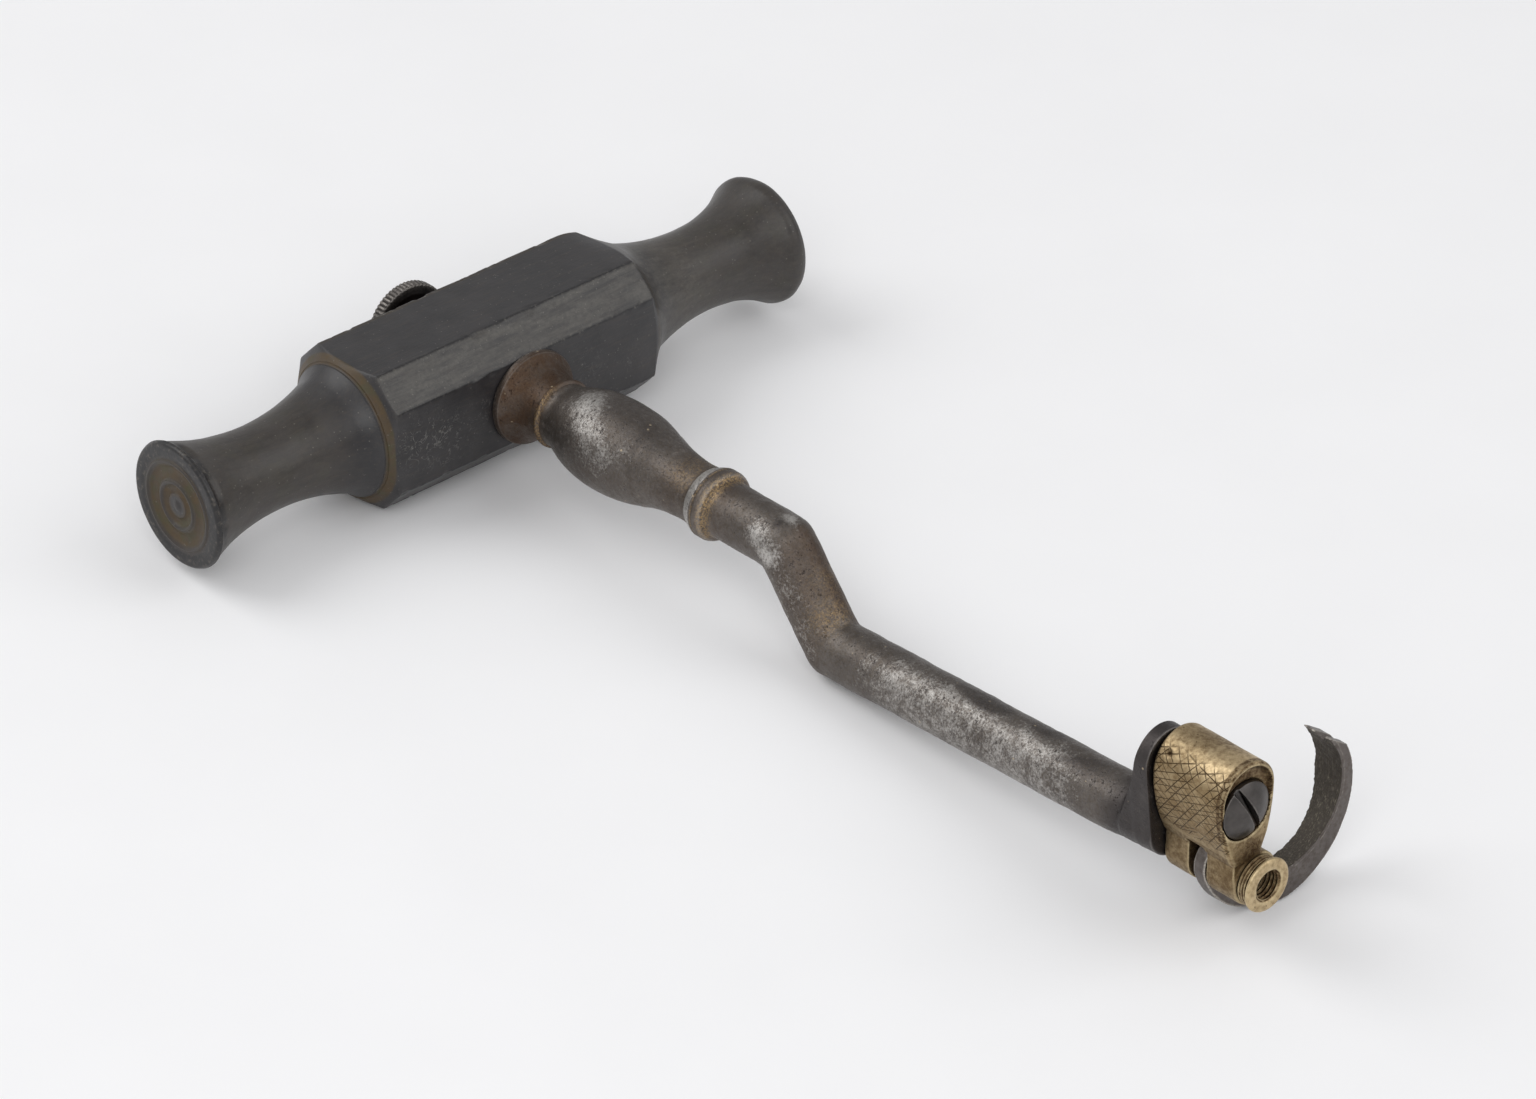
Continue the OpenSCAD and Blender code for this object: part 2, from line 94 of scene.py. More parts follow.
def rolled(rows, columns, place):
    """A strip of rows spun into a tube; place(row, column) gives each point."""
    bm = bmesh.new()
    rail = [bm.verts.new((1, 0, row)) for row in range(rows)]
    for low, high in zip(rail, rail[1:]):
        bm.edges.new((low, high))
    bmesh.ops.spin(
        bm, geom=bm.verts[:] + bm.edges[:], cent=(0, 0, 0), axis=(0, 0, 1),
        dvec=(0, 0, 0), angle=2 * math.pi, steps=columns, use_merge=True)
    for v in bm.verts:
        turn = math.atan2(v.co.y, v.co.x) / (2 * math.pi) * columns
        v.co = place(round(v.co.z), round(turn) % columns)
    bmesh.ops.remove_doubles(bm, verts=bm.verts, dist=MERGE)
    bmesh.ops.recalc_face_normals(bm, faces=bm.faces)
    return bm


def turned_forward(profile, columns, middle, cut):
    """A lathe profile of (station, radius) points spun about an axis along -Y;
    cut(station, radius, angle) gives the radius that the thread leaves."""
    def place(row, column):
        station, radius = profile[row]
        angle = 2 * math.pi * column / columns
        radius = cut(station, radius, angle)
        return (middle[0] + radius * math.cos(angle), -station,
                middle[1] + radius * math.sin(angle))
    return rolled(len(profile), columns, place)


def with_modifiers(bm, *steps):
    """The mesh after some modifiers, as a bmesh again."""
    mesh = bpy.data.meshes.new("work")
    bm.to_mesh(mesh)
    bm.free()
    work = bpy.data.objects.new("work", mesh)
    SCENE.collection.objects.link(work)
    for kind, settings in steps:
        step = work.modifiers.new(kind, kind)
        for key, value in settings.items():
            setattr(step, key, value)
    graph = bpy.context.evaluated_depsgraph_get()
    done = bpy.data.meshes.new_from_object(work.evaluated_get(graph))
    out = bmesh.new()
    out.from_mesh(done)
    bpy.data.objects.remove(work)
    bpy.data.meshes.remove(mesh)
    bpy.data.meshes.remove(done)
    return out


def worn_copy(node, voxel, rubs):
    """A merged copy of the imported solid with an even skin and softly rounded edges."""
    bm = bmesh.new()
    bm.from_mesh(NODES[node].data)
    bmesh.ops.remove_doubles(bm, verts=bm.verts, dist=1e-6)
    bmesh.ops.scale(bm, vec=(1 / MM,) * 3, verts=bm.verts)
    return with_modifiers(
        bm,
        ("REMESH", {"mode": "VOXEL", "voxel_size": voxel}),
        ("SMOOTH", {"factor": 0.5, "iterations": rubs}))


def cut_away(bm, tool):
    """Cuts the tool's shape out of the piece."""
    mesh = bpy.data.meshes.new("cutter")
    tool.to_mesh(mesh)
    tool.free()
    cutter = bpy.data.objects.new("cutter", mesh)
    SCENE.collection.objects.link(cutter)
    out = with_modifiers(
        bm, ("BOOLEAN", {"operation": "DIFFERENCE", "solver": "EXACT", "object": cutter}))
    bpy.data.objects.remove(cutter)
    bpy.data.meshes.remove(mesh)
    return out


def dent(bm, depth, size, seed, where=None):
    """Uneven hand work: the surface sinks by an uneven depth along its normals."""
    bm.normal_update()
    shift = Vector((seed * 7.3, seed * 3.1, seed * 5.7))
    moves = []
    for v in bm.verts:
        share = where(v.co) if where else 1.0
        height = noise.fractal(v.co / size + shift, 1.0, 2.0, 3)
        moves.append(v.normal * (-depth * share * (1 + min(max(height, -1), 1))))
    for v, move in zip(bm.verts, moves):
        v.co += move


def bulge_of(mesh):
    """How far each point stands out from its neighbours: edges high, corners low."""
    import numpy as np
    count = len(mesh.vertices)
    co = np.empty(count * 3)
    mesh.vertices.foreach_get("co", co)
    co = co.reshape(-1, 3) / MM
    normals = np.empty(count * 3)
    mesh.vertex_normals.foreach_get("vector", normals)
    normals = normals.reshape(-1, 3)
    ends = np.empty(len(mesh.edges) * 2, dtype=np.int64)
    mesh.edges.foreach_get("vertices", ends)
    a, b = ends.reshape(-1, 2).T
    links = np.bincount(a, minlength=count) + np.bincount(b, minlength=count)
    links = np.maximum(links, 1)

    def around(values):
        total = np.bincount(a, weights=values[b], minlength=count)
        return (total + np.bincount(b, weights=values[a], minlength=count)) / links

    mean = np.stack([around(co[:, i]) for i in range(3)], 1)
    bulge = -((mean - co) * normals).sum(1)
    step = np.sqrt(((co[a] - co[b]) ** 2).sum(1)).mean()
    bulge = bulge / step
    for _ in range(3):
        bulge = (bulge + around(bulge)) / 2
    return bulge


def paint(mesh, name, value):
    """Stores value(point in millimetres, normal) at every point, for the finish."""
    layer = mesh.attributes.new(name, "FLOAT", "POINT")
    layer.data.foreach_set("value", [
        min(max(value(v.co / MM, v.normal), 0.0), 1.0) for v in mesh.vertices])


def settle(bm, name, node, body, finish, paints=(), crease=50):
    """Scales a finished shape to metres and gives it its body and finish."""
    bmesh.ops.scale(bm, vec=(MM,) * 3, verts=bm.verts)
    mesh = bpy.data.meshes.new(name)
    bm.to_mesh(mesh)
    bm.free()
    mesh.shade_smooth()
    mesh.set_sharp_from_angle(angle=math.radians(crease))
    bulge = bulge_of(mesh)
    layer = mesh.attributes.new("bulge", "FLOAT", "POINT")
    layer.data.foreach_set("value", [0.5 + 2.0 * float(b) for b in bulge])
    for key, value in paints:
        paint(mesh, key, value)
    mesh.materials.append(finish.material)
    piece = bpy.data.objects.new(name, mesh)
    SCENE.collection.objects.link(piece)
    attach(piece, body)
    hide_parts(node)
    return piece


# ---- finishes

class Finish:
    """A procedural finish whose patterns are laid out in millimetres on the piece."""

    def __init__(self, name, metallic, specular=0.5):
        self.material = bpy.data.materials.new(name)
        self.material.use_nodes = True
        self.tree = self.material.node_tree
        self.shader = self.tree.nodes["Principled BSDF"]
        self.put(self.shader.inputs["Metallic"], metallic)
        self.put(self.shader.inputs["Specular IOR Level"], specular)
        coords = self.node("ShaderNodeTexCoord")
        scale = self.node("ShaderNodeMapping")
        scale.inputs["Scale"].default_value = (1 / MM,) * 3
        self.put(scale.inputs["Vector"], coords.outputs["Object"])
        self.place = scale.outputs["Vector"]
        self.normal = None

    def node(self, kind, **settings):
        made = self.tree.nodes.new(kind)
        for key, value in settings.items():
            setattr(made, key, value)
        return made

    def put(self, socket, value):
        if isinstance(value, bpy.types.NodeSocket):
            self.tree.links.new(value, socket)
        else:
            socket.default_value = value

    def laid(self, size, stretch=(1, 1, 1), turn=(0, 0, 0), shift=0.0):
        """The piece's coordinates, turned, stretched and measured in pattern sizes."""
        mapping = self.node("ShaderNodeMapping")
        mapping.inputs["Location"].default_value = (shift, shift * 0.7, shift * 1.3)
        mapping.inputs["Rotation"].default_value = tuple(math.radians(t) for t in turn)
        mapping.inputs["Scale"].default_value = tuple(1 / (size * s) for s in stretch)
        self.put(mapping.inputs["Vector"], self.place)
        return mapping.outputs["Vector"]

    def noise(self, size, detail=4, rough=0.55, stretch=(1, 1, 1), shift=0.0, warp=0.0):
        """Soft cloudy variation of about this size, mostly between 0.3 and 0.7."""
        made = self.node("ShaderNodeTexNoise")
        self.put(made.inputs["Vector"], self.laid(size, stretch, shift=shift))
        for key, value in (("Scale", 1.0), ("Detail", detail), ("Roughness", rough),
                           ("Distortion", warp)):
            made.inputs[key].default_value = value
        return made.outputs["Fac"]

    def cells(self, size, shift=0.0):
        """Distance to the nearest of many scattered points, for dots and pits."""
        made = self.node("ShaderNodeTexVoronoi", feature="F1")
        self.put(made.inputs["Vector"], self.laid(size, shift=shift))
        made.inputs["Scale"].default_value = 1.0
        return made.outputs["Distance"]

    def painted(self, name):
        """A value that paint() stored on the piece."""
        return self.node("ShaderNodeAttribute", attribute_name=name).outputs["Fac"]

    def sum(self, operation, a, b=0.0):
        made = self.node("ShaderNodeMath", operation=operation)
        self.put(made.inputs[0], a)
        self.put(made.inputs[1], b)
        return made.outputs[0]

    def fade(self, value, low, high, start=0.0, end=1.0):
        """Runs from start to end as the value goes from low to high."""
        made = self.node("ShaderNodeMapRange", clamp=True)
        for key, number in zip(
                ("From Min", "From Max", "To Min", "To Max"), (low, high, start, end)):
            made.inputs[key].default_value = number
        self.put(made.inputs["Value"], value)
        return made.outputs["Result"]

    def both(self, a, b):
        """One mask within another."""
        return self.sum("MULTIPLY", a, b)

    def blend(self, factor, under, over):
        """The under colour where the factor is 0, the over colour where it is 1."""
        made = self.node("ShaderNodeMix", data_type="RGBA")
        self.put(made.inputs[0], factor)
        for socket, value in ((made.inputs[6], under), (made.inputs[7], over)):
            self.put(socket, linear(value) if isinstance(value, str) else value)
        return made.outputs[2]

    def relief(self, height, depth):
        """A raised or sunk pattern, depth in millimetres."""
        made = self.node("ShaderNodeBump")
        made.inputs["Strength"].default_value = 1.0
        made.inputs["Distance"].default_value = depth * MM
        self.put(made.inputs["Height"], height)
        if self.normal is not None:
            self.put(made.inputs["Normal"], self.normal)
        self.normal = made.outputs["Normal"]

    def finish(self, colour, roughness):
        self.put(self.shader.inputs["Base Color"], colour)
        self.put(self.shader.inputs["Roughness"], roughness)
        if self.normal is not None:
            self.put(self.shader.inputs["Normal"], self.normal)
        return self


def scratches(f, pitch, slant, width, shift):
    """Straight scored lines at uneven spacing, slanting up from the front by so many
    degrees: 1 in the line, 0 beside it."""
    made = f.node("ShaderNodeSeparateXYZ")
    f.put(made.inputs[0], f.laid(1.0, turn=(slant - 90, 0, 0), shift=shift))
    wander = f.noise(14.0, 0, 0.5, shift=shift)
    across = f.sum("ADD", made.outputs[1], f.both(wander, pitch * 0.3))
    lines = f.node("ShaderNodeTexVoronoi", voronoi_dimensions="1D", feature="DISTANCE_TO_EDGE")
    lines.inputs["Scale"].default_value = 1.0
    f.put(lines.inputs["W"], f.both(across, 1 / pitch))
    line = f.fade(lines.outputs["Distance"], width / pitch, width * 0.4 / pitch)
    broken = f.fade(f.noise(3.6, 2, 0.5, shift=shift + 15.0), 0.36, 0.46)
    return f.both(line, broken)


def worms(f, size, width, shift):
    """Short curling marks, 1 in the mark."""
    level = f.noise(size, 2, 0.5, shift=shift, warp=0.8)
    off = f.sum("ABSOLUTE", f.sum("SUBTRACT", level, 0.5))
    return f.both(f.fade(off, width, width * 0.4),
                  f.fade(f.noise(size * 1.6, 2, 0.5, shift=shift + 4.0), 0.5, 0.6))


def ebony():
    f = Finish("ebony", 0.0, 0.5)
    grain = f.noise(0.35, 5, 0.6, stretch=(14, 1, 1))
    cloud = f.noise(6.0, 5, 0.62, shift=3.0)
    fine = f.noise(0.7, 5, 0.68, shift=9.0)
    brown = f.painted("brown")
    colour = f.blend(f.fade(cloud, 0.34, 0.68), "#232224", "#343233")
    colour = f.blend(f.both(f.fade(grain, 0.5, 0.75), 0.45), colour, "#423a33")
    streak = f.noise(1.0, 5, 0.7, stretch=(7, 1, 1), shift=13.0)
    # a lighter haze: on the front-top chamfer it is a painted sheen, on the grips a lighter haze
    haze_and_sheen = f.both(f.painted("worn_and_sheen"), f.fade(fine, 0.3, 0.62, 0.45, 1.0))
    haze_and_sheen = f.both(haze_and_sheen, f.fade(streak, 0.32, 0.6, 0.15, 1.0))
    colour = f.blend(haze_and_sheen, colour, "#54514c")
    warm = f.both(brown, f.fade(f.noise(2.0, 5, 0.66, shift=5.0), 0.26, 0.66, 0.45, 1.0))
    colour = f.blend(warm, colour, "#4b3a1f")
    olive = f.both(brown, f.fade(f.noise(3.1, 3, 0.6, shift=15.0), 0.5, 0.64))
    colour = f.blend(f.both(olive, 0.6), colour, "#3c3c22")
    scuff = f.painted("scuff")
    marks = f.sum("MAXIMUM", worms(f, 1.5, 0.02, 2.0), worms(f, 0.8, 0.03, 31.0))
    faint = f.both(f.both(marks, 0.12), f.painted("worn_and_sheen"))
    marks = f.sum("MAXIMUM", f.both(scuff, marks), faint)
    colour = f.blend(f.both(marks, 0.5), colour, "#8f8e88")
    dust = f.both(f.fade(f.cells(0.9, shift=3.0), 0.15, 0.05), 0.3)
    colour = f.blend(dust, colour, "#8b877e")
    edge = f.painted("corner")
    rubbed_and_sheen = f.both(edge, f.fade(fine, 0.56, 0.66))
    colour = f.blend(f.both(f.both(edge, f.fade(fine, 0.7, 0.46)), 0.9), colour, "#131316")
    colour = f.blend(f.both(rubbed_and_sheen, 0.3), colour, "#7c756a")
    f.relief(grain, 0.014)
    f.relief(fine, 0.03)
    f.relief(marks, -0.03)
    rough = f.fade(cloud, 0.3, 0.7, 0.34, 0.47)
    rough = f.sum("ADD", rough, f.both(warm, 0.15))
    return f.finish(colour, rough)


def forged_steel():
    f = Finish("forged_steel", 1.0)
    cloud = f.noise(6.0, 5, 0.6, shift=2.0, warp=0.4)
    patch = f.noise(2.6, 6, 0.68, shift=24.0, warp=0.5)
    mottle = f.noise(0.8, 6, 0.74, shift=4.0)
    fine = f.noise(0.34, 4, 0.85, shift=8.0)
    rust, bright_wear_and_highlight = f.painted("rust"), f.painted("bright_wear_and_highlight")
    dirt, dark = f.painted("dirt"), f.painted("dark")
    colour = f.blend(f.fade(cloud, 0.35, 0.66), "#625d5a", "#78736f")
    colour = f.blend(f.fade(mottle, 0.42, 0.62, 0.0, 0.7), colour, "#575049")
    brown = f.both(rust, f.fade(patch, 0.32, 0.62, 0.5, 1.0))
    colour = f.blend(brown, colour, "#4f3d31")
    # bright metal shows in grainy blotches: worn metal on the ring and at the bends, and a painted
    # highlight on the swell's crown, the left sides of slant and rod and the collar's top
    grainy = f.sum("ADD", f.both(patch, 0.35), f.both(mottle, 0.24))
    grainy = f.sum("ADD", grainy, f.both(fine, 0.41))
    grainy = f.sum("ADD", grainy, f.both(bright_wear_and_highlight, 0.3))
    shine = f.fade(grainy, 0.6, 0.75)
    colour = f.blend(shine, colour, "#bebbb7")
    # darker patches: the plate's own dark tone, a painted reflection along the tops of rod and
    # swell, and painted shade on the right side
    dark_patch_and_shade = f.both(dark, f.fade(patch, 0.3, 0.5, 0.6, 1.0))
    colour = f.blend(dark_patch_and_shade, colour, "#494544")
    grains = f.fade(fine, 0.5, 0.36)
    colour = f.blend(f.both(grains, f.both(bright_wear_and_highlight, 0.7)), colour, "#3f3a38")
    pits = f.fade(f.cells(0.7, shift=1.0), 0.1, 0.2)
    pits = f.both(pits, f.fade(mottle, 0.34, 0.42))
    sunk = f.both(f.sum("SUBTRACT", 1.0, pits), f.fade(patch, 0.46, 0.6, 0.1, 0.9))
    colour = f.blend(f.both(sunk, 0.7), colour, "#2b2624")
    grime = f.both(dirt, f.fade(f.noise(0.32, 4, 0.8, shift=12.0), 0.44, 0.6))
    colour = f.blend(grime, colour, "#a98f68")
    specks = f.both(f.fade(f.cells(1.9, shift=6.0), 0.11, 0.06), f.fade(patch, 0.5, 0.56))
    colour = f.blend(f.both(specks, 0.7), colour, "#c2b196")
    edge = f.both(f.fade(f.painted("bulge"), 0.57, 0.72), f.fade(fine, 0.3, 0.55, 0.3, 1.0))
    colour = f.blend(f.both(edge, 0.6), colour, "#b4afaa")
    f.relief(cloud, 0.05)
    f.relief(pits, 0.04)
    f.relief(mottle, 0.03)
    f.relief(fine, 0.045)
    rough = f.fade(mottle, 0.3, 0.7, 0.36, 0.52)
    rough = f.sum("ADD", rough, f.both(brown, 0.12))
    return f.finish(colour, rough)


def screw_steel():
    f = Finish("screw_steel", 1.0)
    cloud = f.noise(2.2, 5, 0.6, shift=2.0)
    fine = f.noise(0.3, 5, 0.7, shift=8.0)
    colour = f.blend(f.fade(cloud, 0.35, 0.68), "#4b4846", "#5e5a58")
    rusty = f.both(f.painted("stain_and_shade"), f.fade(f.noise(1.1, 4, 0.65, shift=5.0), 0.35, 0.6))
    colour = f.blend(rusty, colour, "#4a3529")
    edge = f.both(f.fade(f.painted("bulge"), 0.56, 0.75), f.fade(fine, 0.35, 0.6))
    colour = f.blend(f.both(edge, 0.6), colour, "#9a958f")
    colour = f.blend(f.fade(f.painted("bulge"), 0.42, 0.3), colour, "#2c2624")
    f.relief(cloud, 0.04)
    f.relief(fine, 0.015)
    return f.finish(colour, f.fade(cloud, 0.3, 0.7, 0.34, 0.47))


def claw_steel():
    f = Finish("claw_steel", 1.0)
    cloud = f.noise(3.0, 5, 0.62, shift=2.0)
    mottle = f.noise(0.8, 6, 0.7, shift=4.0)
    fine = f.noise(0.25, 5, 0.7, shift=8.0)
    inner = f.painted("inner")
    colour = f.blend(f.fade(cloud, 0.35, 0.68), "#625c59", "#77716d")
    colour = f.blend(f.fade(mottle, 0.45, 0.65, 0.0, 0.7), colour, "#564d47")
    rough_inside = f.both(inner, f.fade(mottle, 0.25, 0.6, 0.7, 1.0))
    colour = f.blend(rough_inside, colour, "#57524c")
    scored = f.noise(0.45, 6, 0.8, stretch=(1, 0.4, 2.6))
    glint = f.both(f.both(inner, f.fade(scored, 0.54, 0.64)), 0.7)
    colour = f.blend(glint, colour, "#9c9686")
    edge = f.both(f.fade(f.painted("bulge"), 0.54, 0.64), f.fade(fine, 0.35, 0.6, 0.3, 1.0))
    edge = f.both(edge, f.fade(inner, 0.9, 0.3, 0.1, 1.0))
    colour = f.blend(f.both(edge, 0.85), colour, "#c0bab1")
    f.relief(cloud, 0.04)
    f.relief(f.both(inner, scored), 0.12)
    f.relief(fine, 0.014)
    rough = f.fade(cloud, 0.3, 0.7, 0.38, 0.5)
    return f.finish(colour, f.sum("ADD", rough, f.both(inner, 0.18)))


# lines scored into the bolster's flank: pitch, slant in degrees, width, shift
HATCHING = ((0.95, -38, 0.075, 0.0), (2.2, -10, 0.07, 3.0), (0.95, 20, 0.075, 7.0),
            (1.3, 52, 0.08, 11.0))


def brass():
    f = Finish("brass", 1.0)
    cloud = f.noise(3.4, 5, 0.62, shift=2.0, warp=0.5)
    mottle = f.noise(0.8, 6, 0.72, shift=4.0)
    fine = f.noise(0.22, 5, 0.75, shift=8.0)
    bulge, stain_and_shade, hatch_and_shade = f.painted("bulge"), f.painted("stain_and_shade"), f.painted("hatch_and_shade")
    colour = f.blend(f.fade(cloud, 0.36, 0.66), "#9a8562", "#b9a683")
    colour = f.blend(f.both(f.fade(mottle, 0.46, 0.66), 0.7), colour, "#7e6748")
    # the hatched flank is darkened a little as painted shade, against the lighter top
    colour = f.blend(f.both(hatch_and_shade, 0.3), colour, "#7e6748")
    # lighter on the bolster's top as a painted highlight, and on the bush's front face
    rubbed_and_sheen = f.both(f.painted("rubbed_and_sheen"), f.fade(mottle, 0.6, 0.4, 0.45, 1.0))
    colour = f.blend(rubbed_and_sheen, colour, "#dbc49c")
    # brown where stained, and dark on the bolster's slot walls as painted shade
    brown = f.both(stain_and_shade, f.fade(mottle, 0.32, 0.58, 0.4, 1.0))
    colour = f.blend(brown, colour, "#513d2b")
    grit = f.both(stain_and_shade, f.fade(fine, 0.56, 0.66))
    colour = f.blend(f.both(grit, 0.6), colour, "#b29b6c")
    edge = f.both(f.fade(bulge, 0.56, 0.72), f.fade(fine, 0.3, 0.55, 0.3, 1.0))
    colour = f.blend(f.both(edge, 0.85), colour, "#dccba4")
    scored = scratches(f, *HATCHING[0])
    for lines in HATCHING[1:]:
        scored = f.sum("MAXIMUM", scored, scratches(f, *lines))
    scored = f.both(scored, hatch_and_shade)
    colour = f.blend(f.both(scored, 0.9), colour, "#3b2c1c")
    nicks = f.both(f.fade(f.cells(1.3, shift=2.0), 0.12, 0.06), 0.7)
    colour = f.blend(nicks, colour, "#46351f")
    colour = f.blend(f.fade(bulge, 0.44, 0.3), colour, "#352819")
    f.relief(cloud, 0.05)
    f.relief(mottle, 0.035)
    f.relief(scored, -0.06)
    f.relief(fine, 0.016)
    rough = f.fade(mottle, 0.3, 0.7, 0.36, 0.52)
    return f.finish(colour, f.sum("ADD", rough, f.both(brown, 0.15)))


# ---- handle

FLAT = 10.9             # half the block's width across its flats
CORNER = 6.5            # half the width of a flat, where it meets the chamfers
CHAMFER = 17.4 / math.sqrt(2)   # distance of the chamfers from the axis
ARRIS = 0.22            # rounding of the long edges between flats and chamfers
TANG_HOLE = 6.66        # width of the square hole through the block
BLOCK_END_WEAR = (0.6, 1.8)     # rounding of the block's left and right end corners
GRIP_ROOT = 28.5
GRIP_WAIST, GRIP_CURVE, GRIP_WAIST_X = 6.42, 34.0, 40.0
COVE_R, COVE_X, COVE_MID = 7.5, 30.78, 15.57
GROOVE_TURN = 44.0      # where the fine groove lies in the cove
GROOVE_HALF = 0.25      # half the groove's width
GROOVE_DEPTHS = (0.6, 0.12)     # left and right, as shares of that half width
LEFT_LIP = (54.2, 8.86, 0.62)   # rounding of the left lip: x, radius of its middle, size
LEFT_STEP = 0.35        # blend between the left grip and its lip
RIGHT_LIP = (52.95, 7.95, 1.9)  # the right lip is thicker and rounder
RIGHT_TURN = 32.0       # slope in degrees at which the right grip runs into its lip
HANDLE_COLUMNS = (34, 18)       # columns across a flat and across a chamfer
CROWDING = 0.72         # how far those columns crowd towards the edges


def grip_radius(x):
    run = x - GRIP_WAIST_X
    return GRIP_WAIST + GRIP_CURVE - math.sqrt(GRIP_CURVE ** 2 - run * run)


def cove_point(turn, groove):
    """A point (x, radius) of the cove between block and grip, with its fine groove."""
    off_groove = COVE_R * math.radians(turn - GROOVE_TURN)
    depth = groove * math.sqrt(max(GROOVE_HALF ** 2 - off_groove ** 2, 0.0))
    a = math.radians(turn)
    return (COVE_X - (COVE_R + depth) * math.sin(a), COVE_MID - (COVE_R + depth) * math.cos(a))


def end_face(r):
    """How far out the turned end face stands at radius r."""
    face = 54.68 + 0.14 * ease(r, 7.0, 8.2)
    # two hollow rings, a fine bead outside each and a button in the middle
    for middle, x, radius in ((5.1, 55.6, 1.4), (2.5, 55.1, 0.8)):
        reach = radius ** 2 - (r - middle) ** 2
        if reach > 0:
            face = softmin(face, x - math.sqrt(reach), 0.08)
    for middle, x, radius, blend in ((6.65, 54.6, 0.3, 0.05), (3.55, 54.6, 0.3, 0.05),
                                     (0.0, 53.34, 1.6, 0.1)):
        reach = radius ** 2 - (r - middle) ** 2
        if reach > 0:
            face = softmax(face, x + math.sqrt(reach), blend)
    return face


def handle_profile(groove, lip_x, lip_mid, lip_r, run_in=0.0):
    """Half of the handle's outline as (x, radius), from the middle to the end. The grip
    meets the lip at a small step, or flares smoothly into it at the slope run_in."""
    profile = [(x, 20.0) for x in spread(0.0, 23.0, 47)]
    cove = spread(85.8, 48.0, 18) + spread(46.6, 41.4, 13) + spread(40.0, 17.7, 12)
    profile += [cove_point(turn, groove) for turn in cove]
    slope = math.radians(run_in)
    meet_x, meet_r = lip_x - lip_r * math.sin(slope), lip_mid + lip_r * math.cos(slope)
    for x in spread(GRIP_ROOT + 0.5, meet_x - 0.1, 50):
        radius = grip_radius(x)
        if run_in:
            rise = meet_r - grip_radius(meet_x)
            steeper = math.tan(slope) - (meet_x - GRIP_WAIST_X) / (
                GRIP_WAIST + GRIP_CURVE - grip_radius(meet_x))
            start = meet_x - 2 * rise / steeper
            radius += rise * max((x - start) / (meet_x - start), 0.0) ** 2
        else:
            reach = lip_r ** 2 - (x - lip_x) ** 2
            lip = lip_mid + math.sqrt(reach) if reach > 0 else 0.0
            radius = softmax(radius, lip, LEFT_STEP)
        profile.append((x, radius))
    for angle in spread(-run_in, 86, 16 if run_in else 12):
        a = math.radians(angle)
        profile.append((lip_x + lip_r * math.sin(a), lip_mid + lip_r * math.cos(a)))
    profile += [(end_face(r), r) for r in spread(min(lip_mid, 8.75), 0.0, 64)]
    return profile


def octagon_angles():
    """Column angles that crowd together at the block's eight corners."""
    corner = math.degrees(math.atan2(CORNER, FLAT))
    angles = []
    for quarter in range(4):
        start = 90 * quarter
        for low, high, count in (
                (start - corner, start + corner, HANDLE_COLUMNS[0]),
                (start + corner, start + 90 - corner, HANDLE_COLUMNS[1])):
            for t in spread(0, 1, count, last=False):
                crowded = t - CROWDING * math.sin(2 * math.pi * t) / (2 * math.pi)
                angles.append(low + (high - low) * crowded)
    return [math.radians(a) for a in angles]


